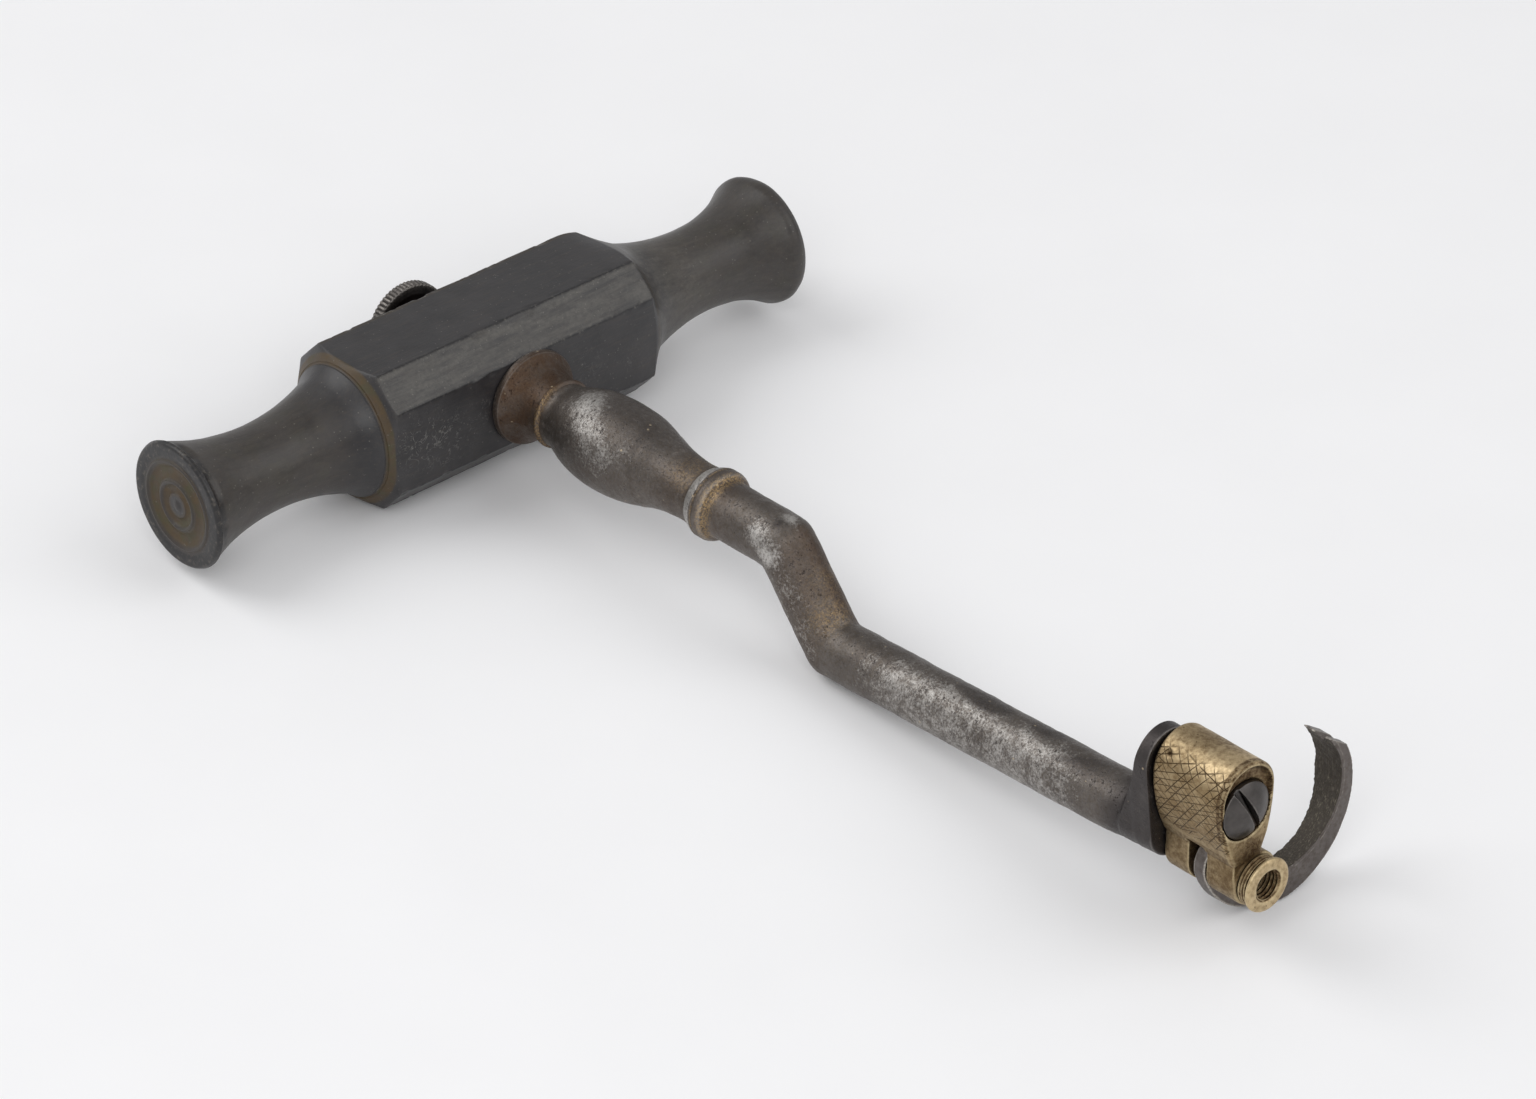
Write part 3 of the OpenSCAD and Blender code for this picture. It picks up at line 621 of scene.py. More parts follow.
def make_handle():
    left = handle_profile(GROOVE_DEPTHS[0], *LEFT_LIP)
    right = handle_profile(GROOVE_DEPTHS[1], *RIGHT_LIP, RIGHT_TURN)
    profile = [(-x, r) for x, r in reversed(left)] + right[1:]
    angles = octagon_angles()

    def place(row, column):
        x, radius = profile[row]
        angle = angles[column]
        c, s = abs(math.cos(angle)), abs(math.sin(angle))
        flats = softmin(FLAT / max(c, s), CHAMFER * math.sqrt(2) / (c + s), ARRIS)
        # the block narrows a little at its right end, most of all at the rear top
        rear_top = ease(math.sin(angle) + math.cos(angle), 0.6, 1.35)
        flats *= 1 - (0.015 + 0.06 * rear_top) * ease(x, 19.0, 25.5) ** 2
        worn_and_sheen = BLOCK_END_WEAR[0 if x < 0 else 1]
        radius = softmin(radius, flats, worn_and_sheen) if radius > 0 else 0.0
        return (x, radius * math.cos(angle), radius * math.sin(angle))

    bm = rolled(len(profile), len(angles), place)
    hole = bmesh.new()
    bmesh.ops.create_cube(hole, size=1)
    bmesh.ops.scale(hole, vec=(TANG_HOLE, 30, TANG_HOLE), verts=hole.verts)
    bm = cut_away(bm, hole)

    def on_wood(p):
        return 0.35 if abs(p.x) > 54.0 else 1.0
    dent(bm, 0.05, 5.0, 1, on_wood)

    # nicks along the well-used corners and the chipped rim of the left end
    def nicks(p):
        r = math.hypot(p.y, p.z)
        corner = ease(r, 12.2, 12.6) * ease(noise.noise(p * 0.8), 0.15, 0.45)
        rim = 0.0
        if p.x < -52.8:
            turn = math.atan2(p.z, p.y)
            chips = ease(noise.noise(Vector((turn * 2.6, 7, 0))), -0.2, 0.2)
            rim = 2.2 * ease(r, 8.6, 9.1) * chips
            rim *= ease(0.8 * p.z - 0.6 * p.y, 2.0, 6.0) * ease(p.x, -54.3, -53.8)
        return corner + rim
    for v in bm.verts:
        share = nicks(v.co)
        if share > 0:
            inward = Vector((0, v.co.y, v.co.z)).normalized()
            v.co -= inward * (0.16 * share)

    def brown(p, n):
        x, r = abs(p.x), math.hypot(p.y, p.z)
        band = ease(x, 24.35, 24.7) * (1 - ease(x, 25.3, 25.75))
        band *= 1 - 0.8 * ease(r, 11.15, 11.5)
        if p.x > 0:
            band *= 0.25
        grip = 0.16 * ease(x, 27, 33)
        end = 0.0
        if x > 54.1 and r < 7.0:
            grip = 0.0
            end = 0.25 + 0.75 * ease(54.78 - x, 0.0, 0.3)
            if r < 1.4:
                end = 0.1
        edge = 0.5 * ease(p.z, 10.1, 10.6) * ease(p.y, 5.6, 6.4) * (1 - ease(x, 23.5, 24.0))
        return max(band, grip, end, edge)

    def scuff(p, n):
        marks = spots(p, (
            (1.0, (-20.0, -FLAT, 0.5), 3.4), (0.7, (-14.5, -FLAT, -1.0), 3.4),
            (0.35, (10.5, -FLAT, 0.5), 3.0), (0.6, (-8.5, -FLAT, 1.0), 2.0),
            (0.2, (19.0, -FLAT, -2.0), 3.0)))
        return ease(-p.y, 10.0, 10.6) * min(marks, 1.0)

    # the front-top chamfer is painted lighter as a sheen where it faces the lamps; the grips get a
    # lighter haze
    def worn_and_sheen(p, n):
        slope = (n.z - n.y) / max(math.hypot(n.y, n.z), 0.01)
        chamfer = ease(slope, 1.3, 1.38) * (1 - ease(abs(p.x), 23.7, 24.2))
        grips = 0.3 * ease(abs(p.x), 29, 36) * (1 - ease(abs(p.x), 52, 54))
        grips = max(grips, 0.75 * ease(p.x, 24.2, 27.0) * (1 - ease(p.x, 33, 46)))
        return max(0.9 * chamfer, grips)

    def corner(p, n):
        y, z = abs(p.y), abs(p.z)
        off = min(math.hypot(y - FLAT, z - CORNER), math.hypot(y - CORNER, z - FLAT))
        r = math.hypot(y, z)
        band = 0.95 * ease(-p.x, 53.8, 54.3) * ease(r, 7.2, 7.5)
        torn = 0.9 * ease(-p.x, 52.7, 53.2) * ease(r, 8.5, 9.0) * ease(p.z - p.y, 3.0, 9.0)
        return max(0.8 * (1 - ease(off, 0.1, 0.45)), band, torn)

    return settle(bm, "handle_turned", "handle", "handle", ebony(), (
        ("brown", brown), ("scuff", scuff), ("worn_and_sheen", worn_and_sheen), ("corner", corner)), 40)


# ---- shank

ROD, ROD_END = 4.35, 3.65       # radius of the rod, and at its tapered end
TANG = 3.25             # half the width of the square tang
NECK = 4.8              # radius of the neck behind the swell
SHANK_COLUMNS = 160
# the rod's path as (distance in front of the handle's axis, height)
BEND_1, BEND_2 = (64.9, 0.0), (74.7, -12.15)
TAPER, PLATE = (130.0, -9.87), (139.8, -9.17)
# the plate's outline: two rounds of one radius and what lies between them
PLATE_TOP, PLATE_LOW, PLATE_R = Vector((-1.1, 2.4)), Vector((0.0, -8.67)), 4.3
# the hollow curve from rod to plate: its radius and where its middle lies
FLARE, FLARE_S, FLARE_FAR = 21.9, 115.9, 16.77
SCREW_HOLE, SCREW_HOLE_AT, SCREW_HOLE_L = 2.2, 136.4, 9.2   # radius, middle, length
RIM_STEPS = 720         # steps in which the plate's rim is measured


def collar_profile():
    """Turned part from the collar to the ring, as (station, radius)."""
    profile = [(10.95, 3.4)] + [(10.95, r) for r in spread(4.6, 6.95, 7)]
    profile += [(11.0, 7.04), (11.1, 7.1), (11.45, 7.12), (11.8, 7.1), (11.92, 7.06)]
    flare_length, rise = 5.35, 2.3
    flare_r = (rise ** 2 + flare_length ** 2) / (2 * rise)
    for s in spread(12.0, 17.3, 20):
        run = 17.3 - s
        profile.append((s, NECK + flare_r - math.sqrt(flare_r ** 2 - run * run)))
    # bead, swell and the hollow in front of it
    for s in spread(17.42, 18.4, 12):
        reach = 0.45 ** 2 - (s - 17.9) ** 2
        bead = 4.75 + math.sqrt(reach) if reach > 0 else 0.0
        profile.append((s, softmax(NECK, bead, 0.1)))
    for s in spread(18.6, 38.3, 56):
        profile.append((s, softmax(-19 + math.sqrt(26 ** 2 - (s - 30) ** 2), NECK, 0.25)))
    for s in spread(38.6, 48.8, 30):
        profile.append((s, 28.48 - math.sqrt(24 ** 2 - (s - 46) ** 2)))
    # ring with its fine groove
    profile += [(48.9, 4.66), (49.1, 4.75), (49.5, 4.92), (49.9, 5.08), (50.2, 5.19),
                (50.35, 5.24), (50.5, 5.25), (50.56, 5.2), (50.66, 5.09), (50.75, 5.06),
                (50.84, 5.09), (50.94, 5.2), (51.0, 5.24), (51.2, 5.25), (51.5, 5.25),
                (51.7, 5.2), (52.0, 5.08), (52.3, 4.9), (52.5, 4.62), (52.6, 4.42)]
    profile += [(s, ROD) for s in spread(52.75, 64.8, 32)]
    return profile


def shank_rows():
    """Every row of the shank: where it is, how it is turned and how thick."""
    rows = [("hole", -1.2, 0.0), ("hole", -1.2, 2.0), ("hole", 4.0, 2.0), ("hole", 10.0, 2.0),
            ("hole", 10.3, 2.15)]
    rows += [("tang", y, 0) for y in (10.3, 10.2, 10.05, 8, 6, 4, 2, 0, -2, -4, -6, -8, -10)]
    rows += [("turned", s, r) for s, r in collar_profile()]
    rows += [("bend_1", t, ROD) for t in spread(0.0, 1.0, 15)]
    rows += [("slant", t, ROD) for t in spread(0.3, 15.31, 44)]
    rows += [("bend_2", t, ROD) for t in spread(0.0, 1.0, 15)]
    rows += [("rod", t, ROD) for t in spread(0.35, 55.35, 104)]
    rows += [("taper", s, 0) for s in spread(130.4, 132.3, 6)]
    for r in spread(2.6, 16.7, 62):
        rows.append(("flare", FLARE_S + math.sqrt(FLARE ** 2 - (FLARE_FAR - r) ** 2), r))
    rows += [("flare", s, 17.85) for s in (138.0, 138.3, 138.7, 139.1, 139.45, 139.68)]
    rows += [("face", 139.76, 0.004), ("face", 139.8, 0.025)]
    rows += [("face", 139.8, t) for t in spread(0.08, 1.0, 10)]
    return rows


def bore(middle, radius, pole, direction):
    """Distance from the pole to a circle's far side."""
    offset = middle - pole
    along = offset.dot(direction)
    return along + math.sqrt(max(radius ** 2 - offset.length_squared + along ** 2, 0.0))


def plate_edge(pole, direction):
    """Distance from a point inside the plate's outline to its rim."""
    axis = PLATE_TOP - PLATE_LOW
    low, high = 0.0, 20.0
    for _ in range(18):
        mid = (low + high) / 2
        point = pole + direction * mid
        t = min(max((point - PLATE_LOW).dot(axis) / axis.length_squared, 0.0), 1.0)
        if (point - PLATE_LOW - axis * t).length < PLATE_R:
            low = mid
        else:
            high = mid
    return low


def plate_angles():
    """Column angles that stand evenly along the plate's rim, starting level."""
    pole = Vector((0.0, PLATE[1]))
    fine = [2 * math.pi * i / RIM_STEPS for i in range(RIM_STEPS + 1)]
    rim = []
    for a in fine:
        direction = Vector((math.cos(a), math.sin(a)))
        rim.append(direction * plate_edge(pole, direction))
    travelled = [0.0]
    for p, q in zip(rim, rim[1:]):
        travelled.append(travelled[-1] + (q - p).length)
    top = travelled[RIM_STEPS // 4]
    angles = []
    for column in range(SHANK_COLUMNS):
        want = (top + travelled[-1] * (column / SHANK_COLUMNS - 0.25)) % travelled[-1]
        i = next(i for i, d in enumerate(travelled) if d >= want)
        i = max(i, 1)
        t = (want - travelled[i - 1]) / max(travelled[i] - travelled[i - 1], 1e-9)
        angle = fine[i - 1] + (fine[i] - fine[i - 1]) * t
        level = 2 * math.pi * column / SHANK_COLUMNS
        while angle - level > math.pi:
            angle -= 2 * math.pi
        while angle - level < -math.pi:
            angle += 2 * math.pi
        angles.append(angle)
    return angles


# patches of the shank's finish as (strength, middle, reach)
# bright patches: on the swell a painted sheen, at the first bend bright wear with a painted
# highlight on its top
SHINE_ON_SWELL = (
    (0.6, (-3.0, -26.0, 6.0), 3.8), (0.55, (-4.2, -29.5, 4.6), 3.4),
    (0.55, (-0.2, -25.5, 6.8), 3.4), (0.42, (-6.0, -32.0, 1.5), 4.0),
    (0.35, (-4.0, -36.0, 2.5), 4.0))
SHINE_AT_BEND = (
    (0.9, (-3.2, -62.2, 2.4), 2.2), (0.95, (-3.2, -64.8, 0.0), 2.2),
    (1.2, (0.4, -65.2, 4.1), 1.6))
DIRT_AT_BEND = ((1.2, (-0.6, -73.8, -7.6), 2.2), (0.5, (0.5, -71.0, -3.5), 2.0))
# dark patches on top of the swell, painted as a reflection
DARK_ON_SWELL = ((0.55, (1.0, -31.0, 6.5), 4.5), (0.6, (-1.0, -37.0, 5.0), 4.0))
BRIGHTEST = 1.4         # the shine that is painted as 1, as on the ring


def make_shank():
    rows = shank_rows()
    rim_angles = plate_angles()
    slopes = [math.atan2(b[1] - a[1], b[0] - a[0]) for a, b in (
        ((0.0, 0.0), BEND_1), (BEND_1, BEND_2), (BEND_2, TAPER), (TAPER, PLATE))]
    slant_length = math.dist(BEND_1, BEND_2)

    def along(start, slope, t, across, up):
        c, s = math.cos(slope), math.sin(slope)
        return (across, -(start[0] + t * c - up * s), start[1] + t * s + up * c)

    def fan(corner, before, after, t, across, up):
        """Round the outside of a bend, pinched to its mitre on the inside."""
        turn = after - before
        if up * turn < 0:
            return along(corner, before + turn * t, 0.0, across, up)
        return along(corner, before + turn / 2, 0.0, across, up / math.cos(turn / 2))

    def place(row, column):
        kind, t, radius = rows[row]
        angle = 2 * math.pi * column / SHANK_COLUMNS
        if kind == "tang":
            c, s = abs(math.cos(angle)), abs(math.sin(angle))
            side = TANG - (0.12 if t > 10.25 else 0.0) - (0.03 if t == 10.2 else 0.0)
            radius = softmin(side / max(c, s), side * 1.37, 0.1)
        across, up = radius * math.cos(angle), radius * math.sin(angle)
        if kind in ("hole", "tang"):
            return (across, t, up)
        if kind == "turned":
            limit = BEND_1[0] - up * math.tan((slopes[1] - slopes[0]) / 2)
            return (across, -min(t, limit) if t > 60 else -t, up)
        if kind == "bend_1":
            return fan(BEND_1, slopes[0], slopes[1], t, across, up)
        if kind == "slant":
            low = up * math.tan((slopes[1] - slopes[0]) / 2)
            high = slant_length - up * math.tan((slopes[2] - slopes[1]) / 2)
            return along(BEND_1, slopes[1], min(max(t, low), high), across, up)
        if kind == "bend_2":
            return fan(BEND_2, slopes[1], slopes[2], t, across, up)
        if kind == "rod":
            low = up * math.tan((slopes[2] - slopes[1]) / 2)
            return along(BEND_2, slopes[2], max(t, low), across, up)
        share = (t - TAPER[0]) / (PLATE[0] - TAPER[0])
        pole = Vector((0.0, TAPER[1] + (PLATE[1] - TAPER[1]) * share))
        thick = ROD + (ROD_END - ROD) * share
        if kind == "face":
            pole = Vector((0.0, PLATE[1]))
            toward = rim_angles[column]
            direction = Vector((math.cos(toward), math.sin(toward)))
            point = pole + direction * (plate_edge(pole, direction) * (1 - radius))
            return (point.x, -t, point.y)
        share = ease(t, 131.0, 136.5)
        angle += (rim_angles[column] - angle) * share
        direction = Vector((math.cos(angle), math.sin(angle)))
        reach = thick
        if kind == "flare":
            flare = bore(Vector((0.0, PLATE[1])), radius, pole, direction)
            spread_out = softmin(flare, plate_edge(pole, direction), 0.3)
            reach = softmax(thick, spread_out, 1.1)
        point = pole + direction * reach
        return (point.x, -t, point.y)

    bm = rolled(len(rows), SHANK_COLUMNS, place)
    hole = bmesh.new()
    bmesh.ops.create_cone(
        hole, cap_ends=True, segments=64, radius1=SCREW_HOLE, radius2=SCREW_HOLE,
        depth=SCREW_HOLE_L, matrix=Matrix.Translation((0, -SCREW_HOLE_AT, 0))
        @ Matrix.Rotation(math.pi / 2, 4, "X"))
    bm = cut_away(bm, hole)
    near = [v for v in bm.verts
            if 60.5 < -v.co.y < 79.5 and min(
                math.dist((-v.co.y, v.co.z), bend) for bend in (BEND_1, BEND_2)) < 6.3]
    for _ in range(5):
        bmesh.ops.smooth_vert(bm, verts=near, factor=0.5, use_axis_x=True, use_axis_y=True,
                              use_axis_z=True)

    def on_forging(p):
        s = -p.y
        return ease(s, 18.5, 21) * (1 - 0.8 * ease(s, 136, 137)) * (
            1 - 0.9 * ease(s, 48.6, 49) * (1 - ease(s, 52.6, 53)))
    dent(bm, 0.09, 5.5, 2, on_forging)
    dent(bm, 0.035, 1.2, 3, lambda p: on_forging(p) * ease(-p.y, 52, 56))

    def rust(p, n):
        s = -p.y
        value = 0.95 * (1 - ease(s, 17.6, 19.5))
        value += 0.3 * ease(s, 40, 46) * (1 - ease(s, 48.6, 49.2))
        value += 0.3 * ease(s, 50.4, 50.9) * (1 - ease(s, 54, 60))
        slant = ease(s, 65.5, 68.0) * (1 - ease(s, 75, 77))
        value += (0.35 + 0.5 * ease(n.x, -0.4, 0.5)) * slant
        return value * (1 - ease(s, 128, 133))

    def bright_wear_and_highlight(p, n):
        s = -p.y
        value = spots(p, SHINE_ON_SWELL)
        if 48.9 < s < 50.45:
            value = BRIGHTEST
        value += spots(p, SHINE_AT_BEND)
        # the left sides of the slant and the rod are painted lighter as a highlight
        value += 0.45 * ease(s, 64, 67) * (1 - ease(s, 74, 78)) * ease(-n.x, 0.55, 0.9)
        left = ease(-n.x, -0.35, 0.5)
        rod = ease(s, 75, 93) * (1 - ease(s, 120, 131))
        value += rod * (0.25 + 0.42 * left)
        # the collar's top is painted lighter as a highlight
        value += 0.35 * (1 - ease(s, 11.0, 12.2)) * ease(p.z, 5.5, 6.8)
        return value / BRIGHTEST

    def dirt(p, n):
        s = -p.y
        value = 0.95 * ease(s, 51.6, 52.2) * (1 - ease(s, 52.8, 54.4)) * ease(n.z - n.x, -0.4, 0.3)
        value += 0.6 * ease(s, 50.55, 50.62) * (1 - ease(s, 50.9, 50.98))
        value += 0.6 * ease(s, 17.2, 17.5) * (1 - ease(s, 18.3, 18.7)) * ease(-n.x, 0.0, 0.6)
        value += spots(p, DIRT_AT_BEND)
        value += 0.3 * ease(s, 42, 47) * (1 - ease(s, 48.0, 49.2)) * ease(n.z, 0.2, 0.8)
        value += 0.06
        return value * (1 - ease(s, 128, 132))

    def dark(p, n):
        s = -p.y
        plate = ease(s, 129.0, 133.5)
        # a darker streak along the rod's top, painted as a reflection
        top = ease(n.z, 0.6, 0.95) * ease(s, 90, 104) * (1 - ease(s, 124, 130))
        top *= ease(noise.noise(Vector((p.x * 0.2, s * 0.12, 4.0))), -0.25, 0.1)
        # the right side is painted darker as shade
        side = ease(n.x, -0.1, 0.7) * 0.45 * ease(s, 20, 24)
        notch = 1.6 * spot(p, (-1.3, -65.0, 3.3), 1.1)
        belly = spots(p, DARK_ON_SWELL)
        return max(plate, 0.85 * top, side, notch, belly)

    return settle(bm, "shank_forged", "shank", "shank", forged_steel(),
                  (("rust", rust), ("bright_wear_and_highlight", bright_wear_and_highlight), ("dirt", dirt), ("dark", dark)), 42)


# ---- thumb screw

STEM, STEM_PITCH, STEM_THREAD = 1.95, 0.7, 0.22     # its radius, thread pitch and depth
MILLING = 0.16          # depth of the milled ribs round the disc


def make_thumb_screw():
    # stem, shoulder, neck and disc as (y, radius)
    steel = [(-0.55, 0.0), (-0.55, 1.5), (-0.35, 1.8)]
    steel += [(y, STEM) for y in spread(-0.2, 10.3, 88)]
    steel += [(10.6, 1.8), (10.95, 1.8), (10.95, 5.2), (11.05, 5.35), (11.2, 5.4), (11.9, 5.4),
              (12.1, 5.36), (12.25, 5.2), (12.3, 4.9)]
    steel += [(12.3 + 1.15 * t, 4.9 - 1.8 * t ** 0.8) for t in spread(0.1, 1.0, 8)]
    steel += [(14.2, 3.1), (14.7, 3.12), (15.0, 3.4), (15.3, 4.0), (15.48, 4.7), (15.5, 5.4),
              (15.5, 6.2), (15.56, 6.42), (15.7, 6.56), (15.9, 6.6), (16.4, 6.6), (17.0, 6.6),
              (17.2, 6.56), (17.34, 6.4), (17.4, 6.1), (17.4, 5.2), (17.33, 5.0), (17.33, 4.0),
              (17.36, 2.0), (17.36, 0.0)]
    columns = 180

    def place(row, column):
        y, radius = steel[row]
        angle = 2 * math.pi * column / columns
        if -0.2 <= y <= 10.3 and radius == STEM:
            wave = abs((y / STEM_PITCH + column / columns) % 1.0 - 0.5) * 2
            radius -= STEM_THREAD * wave
        if 15.52 < y < 17.39 and radius > 6.0 and column % 3 == 0:
            radius -= MILLING
        return (radius * math.cos(angle), y, radius * math.sin(angle))

    bm = rolled(len(steel), columns, place)

    def stain_and_shade(p, n):
        return 0.9 * ease(17.45 - p.y, 1.95, 0.1) * ease(6.6 - math.hypot(p.x, p.z), 0.1, 0.4)

    return settle(bm, "thumb_screw_milled", "thumb_screw", "thumb_screw",
                  screw_steel(), (("stain_and_shade", stain_and_shade),), 30)


# ---- head

PIVOT = (1.95, -11.5)   # x and z of the claw's pivot
PIT = (-3.6, -141.9, 5.3)       # a small pit near the bolster's back


def make_bolster():
    bm = worn_copy("bolster", 0.17, 5)
    dent(bm, 0.05, 3.5, 4)
    for v in bm.verts:
        depth = spot(v.co, PIT, 0.42)
        if depth > 0.05:
            v.co -= v.normal * (0.3 * depth)

    # the left flank, which carries the scored lines and is also darkened a little as painted shade
    def hatch_and_shade(p, n):
        side = ease(-n.x, 0.3, 0.6)
        return side * ease(p.z, -5.9, -5.2) * (1 - ease(p.z, 5.2, 6.6))

    def stain_and_shade(p, n):
        s = -p.y
        r = math.hypot(p.x, p.z)
        dish = ease(s, 151.6, 151.75) * (1 - ease(s, 152.66, 152.78)) * (1 if p.z > -5 else 0)
        dish *= 0.85 if r < 5.2 or p.z > 0 else 0.0
        neck = ease(s, 151.5, 152.4) * spot(p, (0.9, -152.6, -6.4), 2.6)
        joint = 0.9 * ease(s, 151.8, 152.4) * spot(p, (1.4, -152.8, -8.4), 1.5)
        crown = spots(p, ((0.55, (2.4, -146.5, 6.4), 3.0), (0.3, (-1.0, -143.0, 6.8), 3.0)))
        # the slot's walls are darkened as painted shade in the gap between the ears
        slot = 0.8 if 144.3 < s < 147.7 and p.z < -7.0 and abs(n.y) > 0.5 else 0.0
        pit_dark = 1.3 * spot(p, PIT, 0.5)
        back = ease(-s, -140.6, -140.0)
        ears = 0.45 if p.z < -6.5 else 0.0
        return max(dish, neck, joint, crown, slot, pit_dark, back, ears) + 0.14

    # the top is painted lighter as a highlight, more so towards the front
    def rubbed_and_sheen(p, n):
        top = ease(n.z, 0.15, 0.7) * ease(p.z, 3.0, 5.0)
        return top * (0.45 + 0.45 * ease(-p.y, 144.0, 150.0))

    return settle(bm, "bolster_worn", "bolster", "bolster", brass(),
                  (("hatch_and_shade", hatch_and_shade), ("stain_and_shade", stain_and_shade), ("rubbed_and_sheen", rubbed_and_sheen)), 60)


def make_bolster_screw():
    bm = worn_copy("bolster_screw", 0.11, 3)
    dent(bm, 0.03, 2.0, 5)

    def stain_and_shade(p, n):
        return 0.9 * spot(p, (2.6, -152.8, -2.6), 1.3)

    return settle(bm, "bolster_screw_domed", "bolster_screw", "bolster_screw",
                  screw_steel(), (("stain_and_shade", stain_and_shade),), 60)


CLAW_MID = Vector((12.27, -7.01))       # x and z of the middle of the claw's inner curve


def make_claw():
    bm = worn_copy("claw", 0.13, 3)
    dent(bm, 0.05, 3.0, 6)

    def on_inside(p):
        gap = (Vector((p.x, p.z)) - CLAW_MID).length
        return 1 - ease(gap, 10.1, 10.5)

    def inside(p, n):
        toward = Vector((n.x, n.z)).dot((CLAW_MID - Vector((p.x, p.z))).normalized())
        return on_inside(p) * ease(toward, 0.3, 0.7) * (1 if p.z > -19 and p.x > 4.5 else 0)
    dent(bm, 0.1, 0.8, 7, lambda p: on_inside(p) * (1 if p.x > 7 else 0))
    return settle(bm, "claw_forged", "claw", "claw", claw_steel(),
                  (("inner", inside),), 60)


BORE, BORE_PITCH, BORE_THREAD = 2.0, 0.62, 0.26     # the bush's hole and its thread


def make_bush():
    # rows as (station, radius); a radius of -1 stands for the thread
    outside = [(148.5, 2.05), (148.5, 2.6), (148.6, 2.75), (152.84, 2.75), (152.85, 3.35),
               (152.92, 3.54), (153.0, 3.59), (153.12, 3.59), (153.21, 3.56), (153.26, 3.48),
               (153.31, 3.46), (153.36, 3.48), (153.41, 3.56), (153.5, 3.59), (153.62, 3.58),
               (153.68, 3.54), (153.72, 3.47), (153.76, 3.45), (153.8, 3.47), (153.86, 3.55),
               (153.95, 3.59), (154.08, 3.59), (154.15, 3.54), (154.19, 3.42), (154.24, 3.36),
               (154.4, 3.36), (154.45, 3.5), (154.47, 3.7), (154.5, 3.85), (154.56, 3.92),
               (154.66, 3.94), (154.78, 3.93), (154.9, 3.88), (155.0, 3.8), (155.08, 3.7),
               (155.14, 3.6), (155.18, 3.48), (155.2, 3.3), (155.2, 3.0), (155.2, 2.7),
               (155.18, 2.45), (155.1, 2.32), (154.98, 2.24)]
    inside = [(s, -1.0) for s in spread(154.9, 151.65, 44)]
    inside += [(151.6, 2.25), (151.15, 2.25), (151.1, 2.0), (148.5, 2.0), (148.5, 2.05)]

    def thread(station, radius, angle):
        if radius > 0:
            return radius
        wave = abs((station / BORE_PITCH + angle / (2 * math.pi)) % 1.0 - 0.5) * 2
        return BORE + BORE_THREAD * ease(wave, 0.1, 0.9)

    bm = turned_forward(outside + inside, 112, PIVOT, thread)
    dent(bm, 0.035, 1.6, 8, lambda p: ease(-p.y, 152.9, 153.1))

    def stain_and_shade(p, n):
        s = -p.y
        r = math.hypot(p.x - PIVOT[0], p.z - PIVOT[1])
        ring = (1 - ease(s, 154.4, 154.5)) * (0.55 + 0.4 * ease(3.55 - r, 0.0, 0.08))
        hole = 1.0 if r < 2.32 and s < 155.0 else 0.0
        return max(ring, hole) + 0.3 - 0.2 * ease(s, 154.4, 154.6)

    # the front face is painted lighter
    def rubbed_and_sheen(p, n):
        return 0.6 * ease(-p.y, 154.4, 154.6)

    return settle(bm, "claw_bush_turned", "claw_bush", "bolster", brass(),
                  (("stain_and_shade", stain_and_shade), ("hatch_and_shade", lambda p, n: 0.0), ("rubbed_and_sheen", rubbed_and_sheen)), 45)


def make_pivot_screw():
    bm = worn_copy("claw_pivot_screw", 0.11, 2)
    return settle(bm, "claw_pivot_screw_worn", "claw_pivot_screw", "claw_pivot",
                  screw_steel(), (("stain_and_shade", lambda p, n: 0.6),), 60)


# ---- floor, light and camera

REST_TILT = math.radians(4.09)  # the key leans on its handle and on its claw
FLOOR_AT = (0.0, 6.5, -10.93)   # a point of the floor below the block
LAMPS = (               # name, place, size and power, in metres and watts
    ("back_box", (-0.5, 0.6, 0.85), 0.9, 4.6),
    ("left_box", (-0.7, -0.75, 0.7), 0.9, 4.0),
    ("front_box", (0.6, -0.85, 0.7), 1.1, 3.6))
LAMPS_AIM = (0.0, -0.07, 0.0)
SKY_STRENGTH = 0.53
CAMERA_ANGLES = (-41.622, 32.3726, -0.8754)     # turn, height and roll, in degrees
CAMERA_AT = (40.986, -26.089, 944.137)  # right, up and back from the origin
CAMERA_LENS, CAMERA_SENSOR = 155.133, 36.0


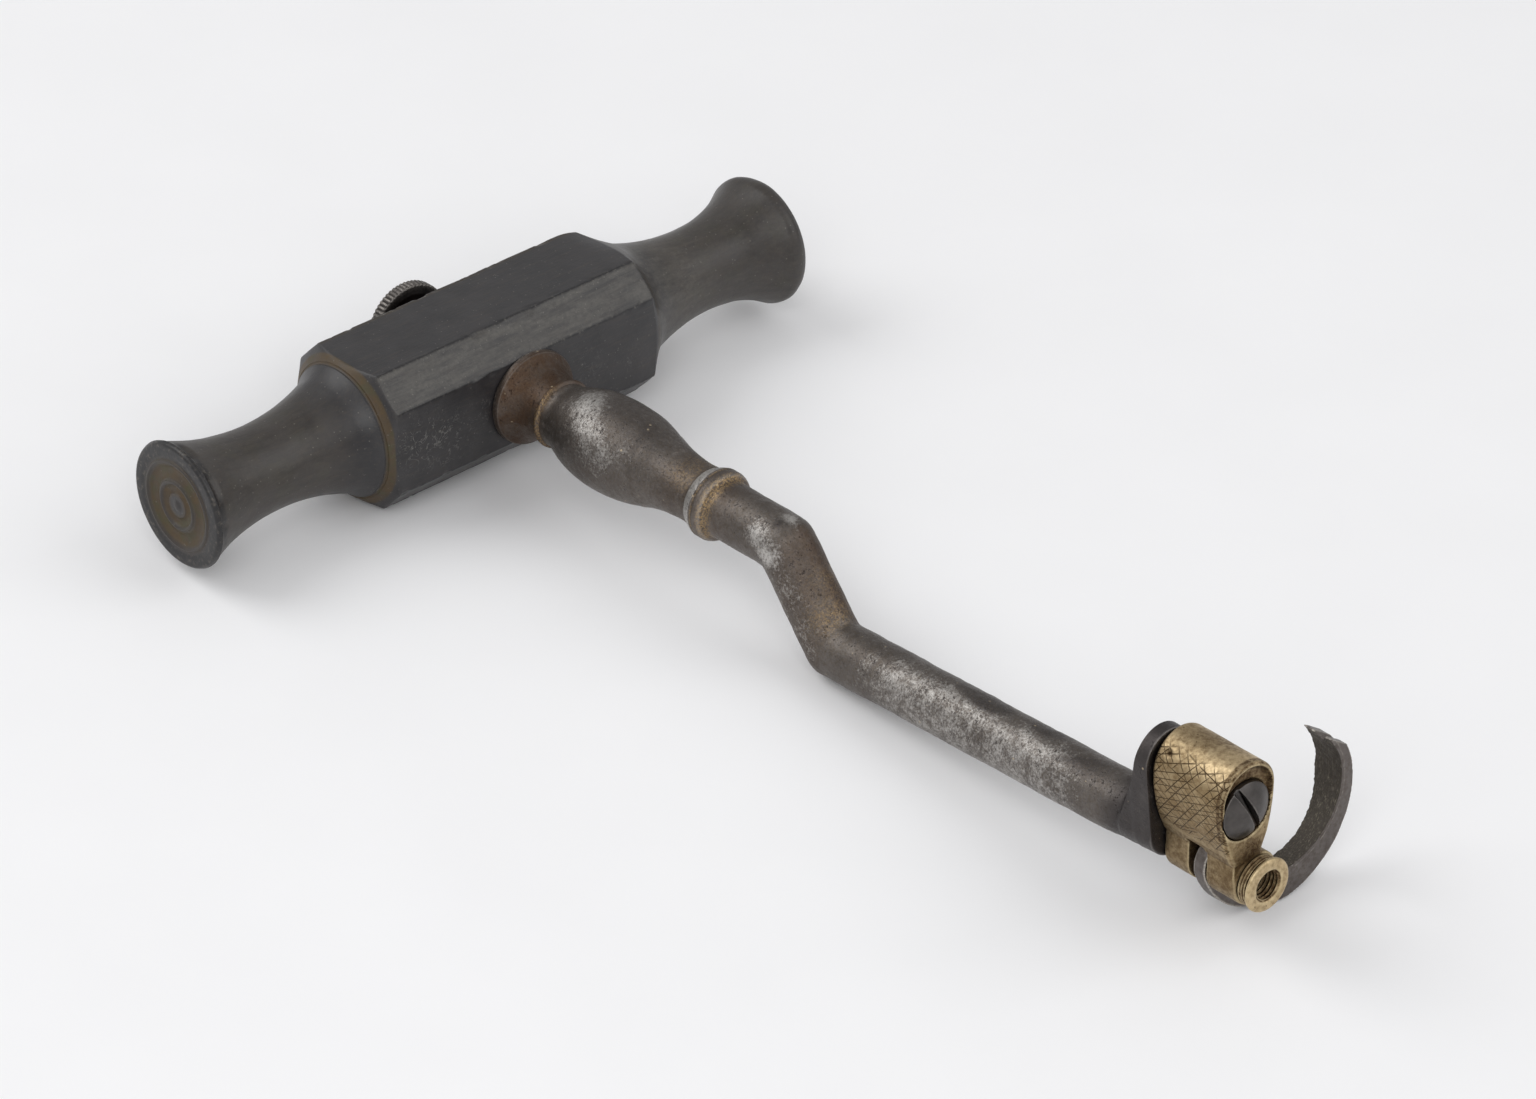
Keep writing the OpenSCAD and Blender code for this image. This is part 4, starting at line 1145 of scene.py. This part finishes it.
def make_floor():
    bm = bmesh.new()
    bmesh.ops.create_grid(bm, x_segments=8, y_segments=8, size=1.6)
    bmesh.ops.rotate(bm, cent=(0, 0, 0), verts=bm.verts,
                     matrix=Matrix.Rotation(REST_TILT, 3, "X"))
    bmesh.ops.translate(bm, vec=[c * MM for c in FLOOR_AT], verts=bm.verts)
    mesh = bpy.data.meshes.new("floor")
    bm.to_mesh(mesh)
    bm.free()
    f = Finish("pale_floor", 0.0, 0.2)
    speck = f.noise(30.0, 3, 0.5)
    f.finish(f.blend(f.fade(speck, 0.3, 0.7), "#f4f4f5", "#f6f6f7"), 0.85)
    mesh.materials.append(f.material)
    floor = bpy.data.objects.new("floor", mesh)
    SCENE.collection.objects.link(floor)


def make_lights():
    world = bpy.data.worlds.new("studio")
    SCENE.world = world
    world.use_nodes = True
    tree = world.node_tree
    shade = tree.nodes["Background"]
    shade.inputs["Color"].default_value = linear("#fafafb")
    shade.inputs["Strength"].default_value = SKY_STRENGTH

    for name, place, size, power in LAMPS:
        lamp = bpy.data.lights.new(name, "AREA")
        lamp.shape = "DISK"
        lamp.size = size
        lamp.energy = power
        light = bpy.data.objects.new(name, lamp)
        light.location = place
        aim = Vector(LAMPS_AIM) - Vector(place)
        light.rotation_mode = "QUATERNION"
        light.rotation_quaternion = aim.to_track_quat("-Z", "Y")
        SCENE.collection.objects.link(light)


def make_camera():
    turn, height, roll = (math.radians(a) for a in CAMERA_ANGLES)
    back = Vector((math.sin(turn) * math.cos(height), -math.cos(turn) * math.cos(height),
                   math.sin(height)))
    level = Vector((0, 0, 1)).cross(back).normalized()
    lift = back.cross(level)
    right = level * math.cos(roll) + lift * math.sin(roll)
    up = lift * math.cos(roll) - level * math.sin(roll)
    data = bpy.data.cameras.new("camera")
    data.sensor_width = CAMERA_SENSOR
    data.lens = CAMERA_LENS
    data.clip_start, data.clip_end = 0.02, 20.0
    camera = bpy.data.objects.new("camera", data)
    camera.matrix_world = Matrix((right, up, back)).transposed().to_4x4()
    along_right, along_up, along_back = CAMERA_AT
    camera.location = (right * along_right + up * along_up + back * along_back) * MM
    SCENE.collection.objects.link(camera)
    SCENE.camera = camera


SCENE.view_settings.view_transform = "Standard"
make_camera()
make_floor()
make_lights()
make_handle()
make_thumb_screw()
make_shank()
make_bolster()
make_bolster_screw()
make_claw()
make_bush()
make_pivot_screw()
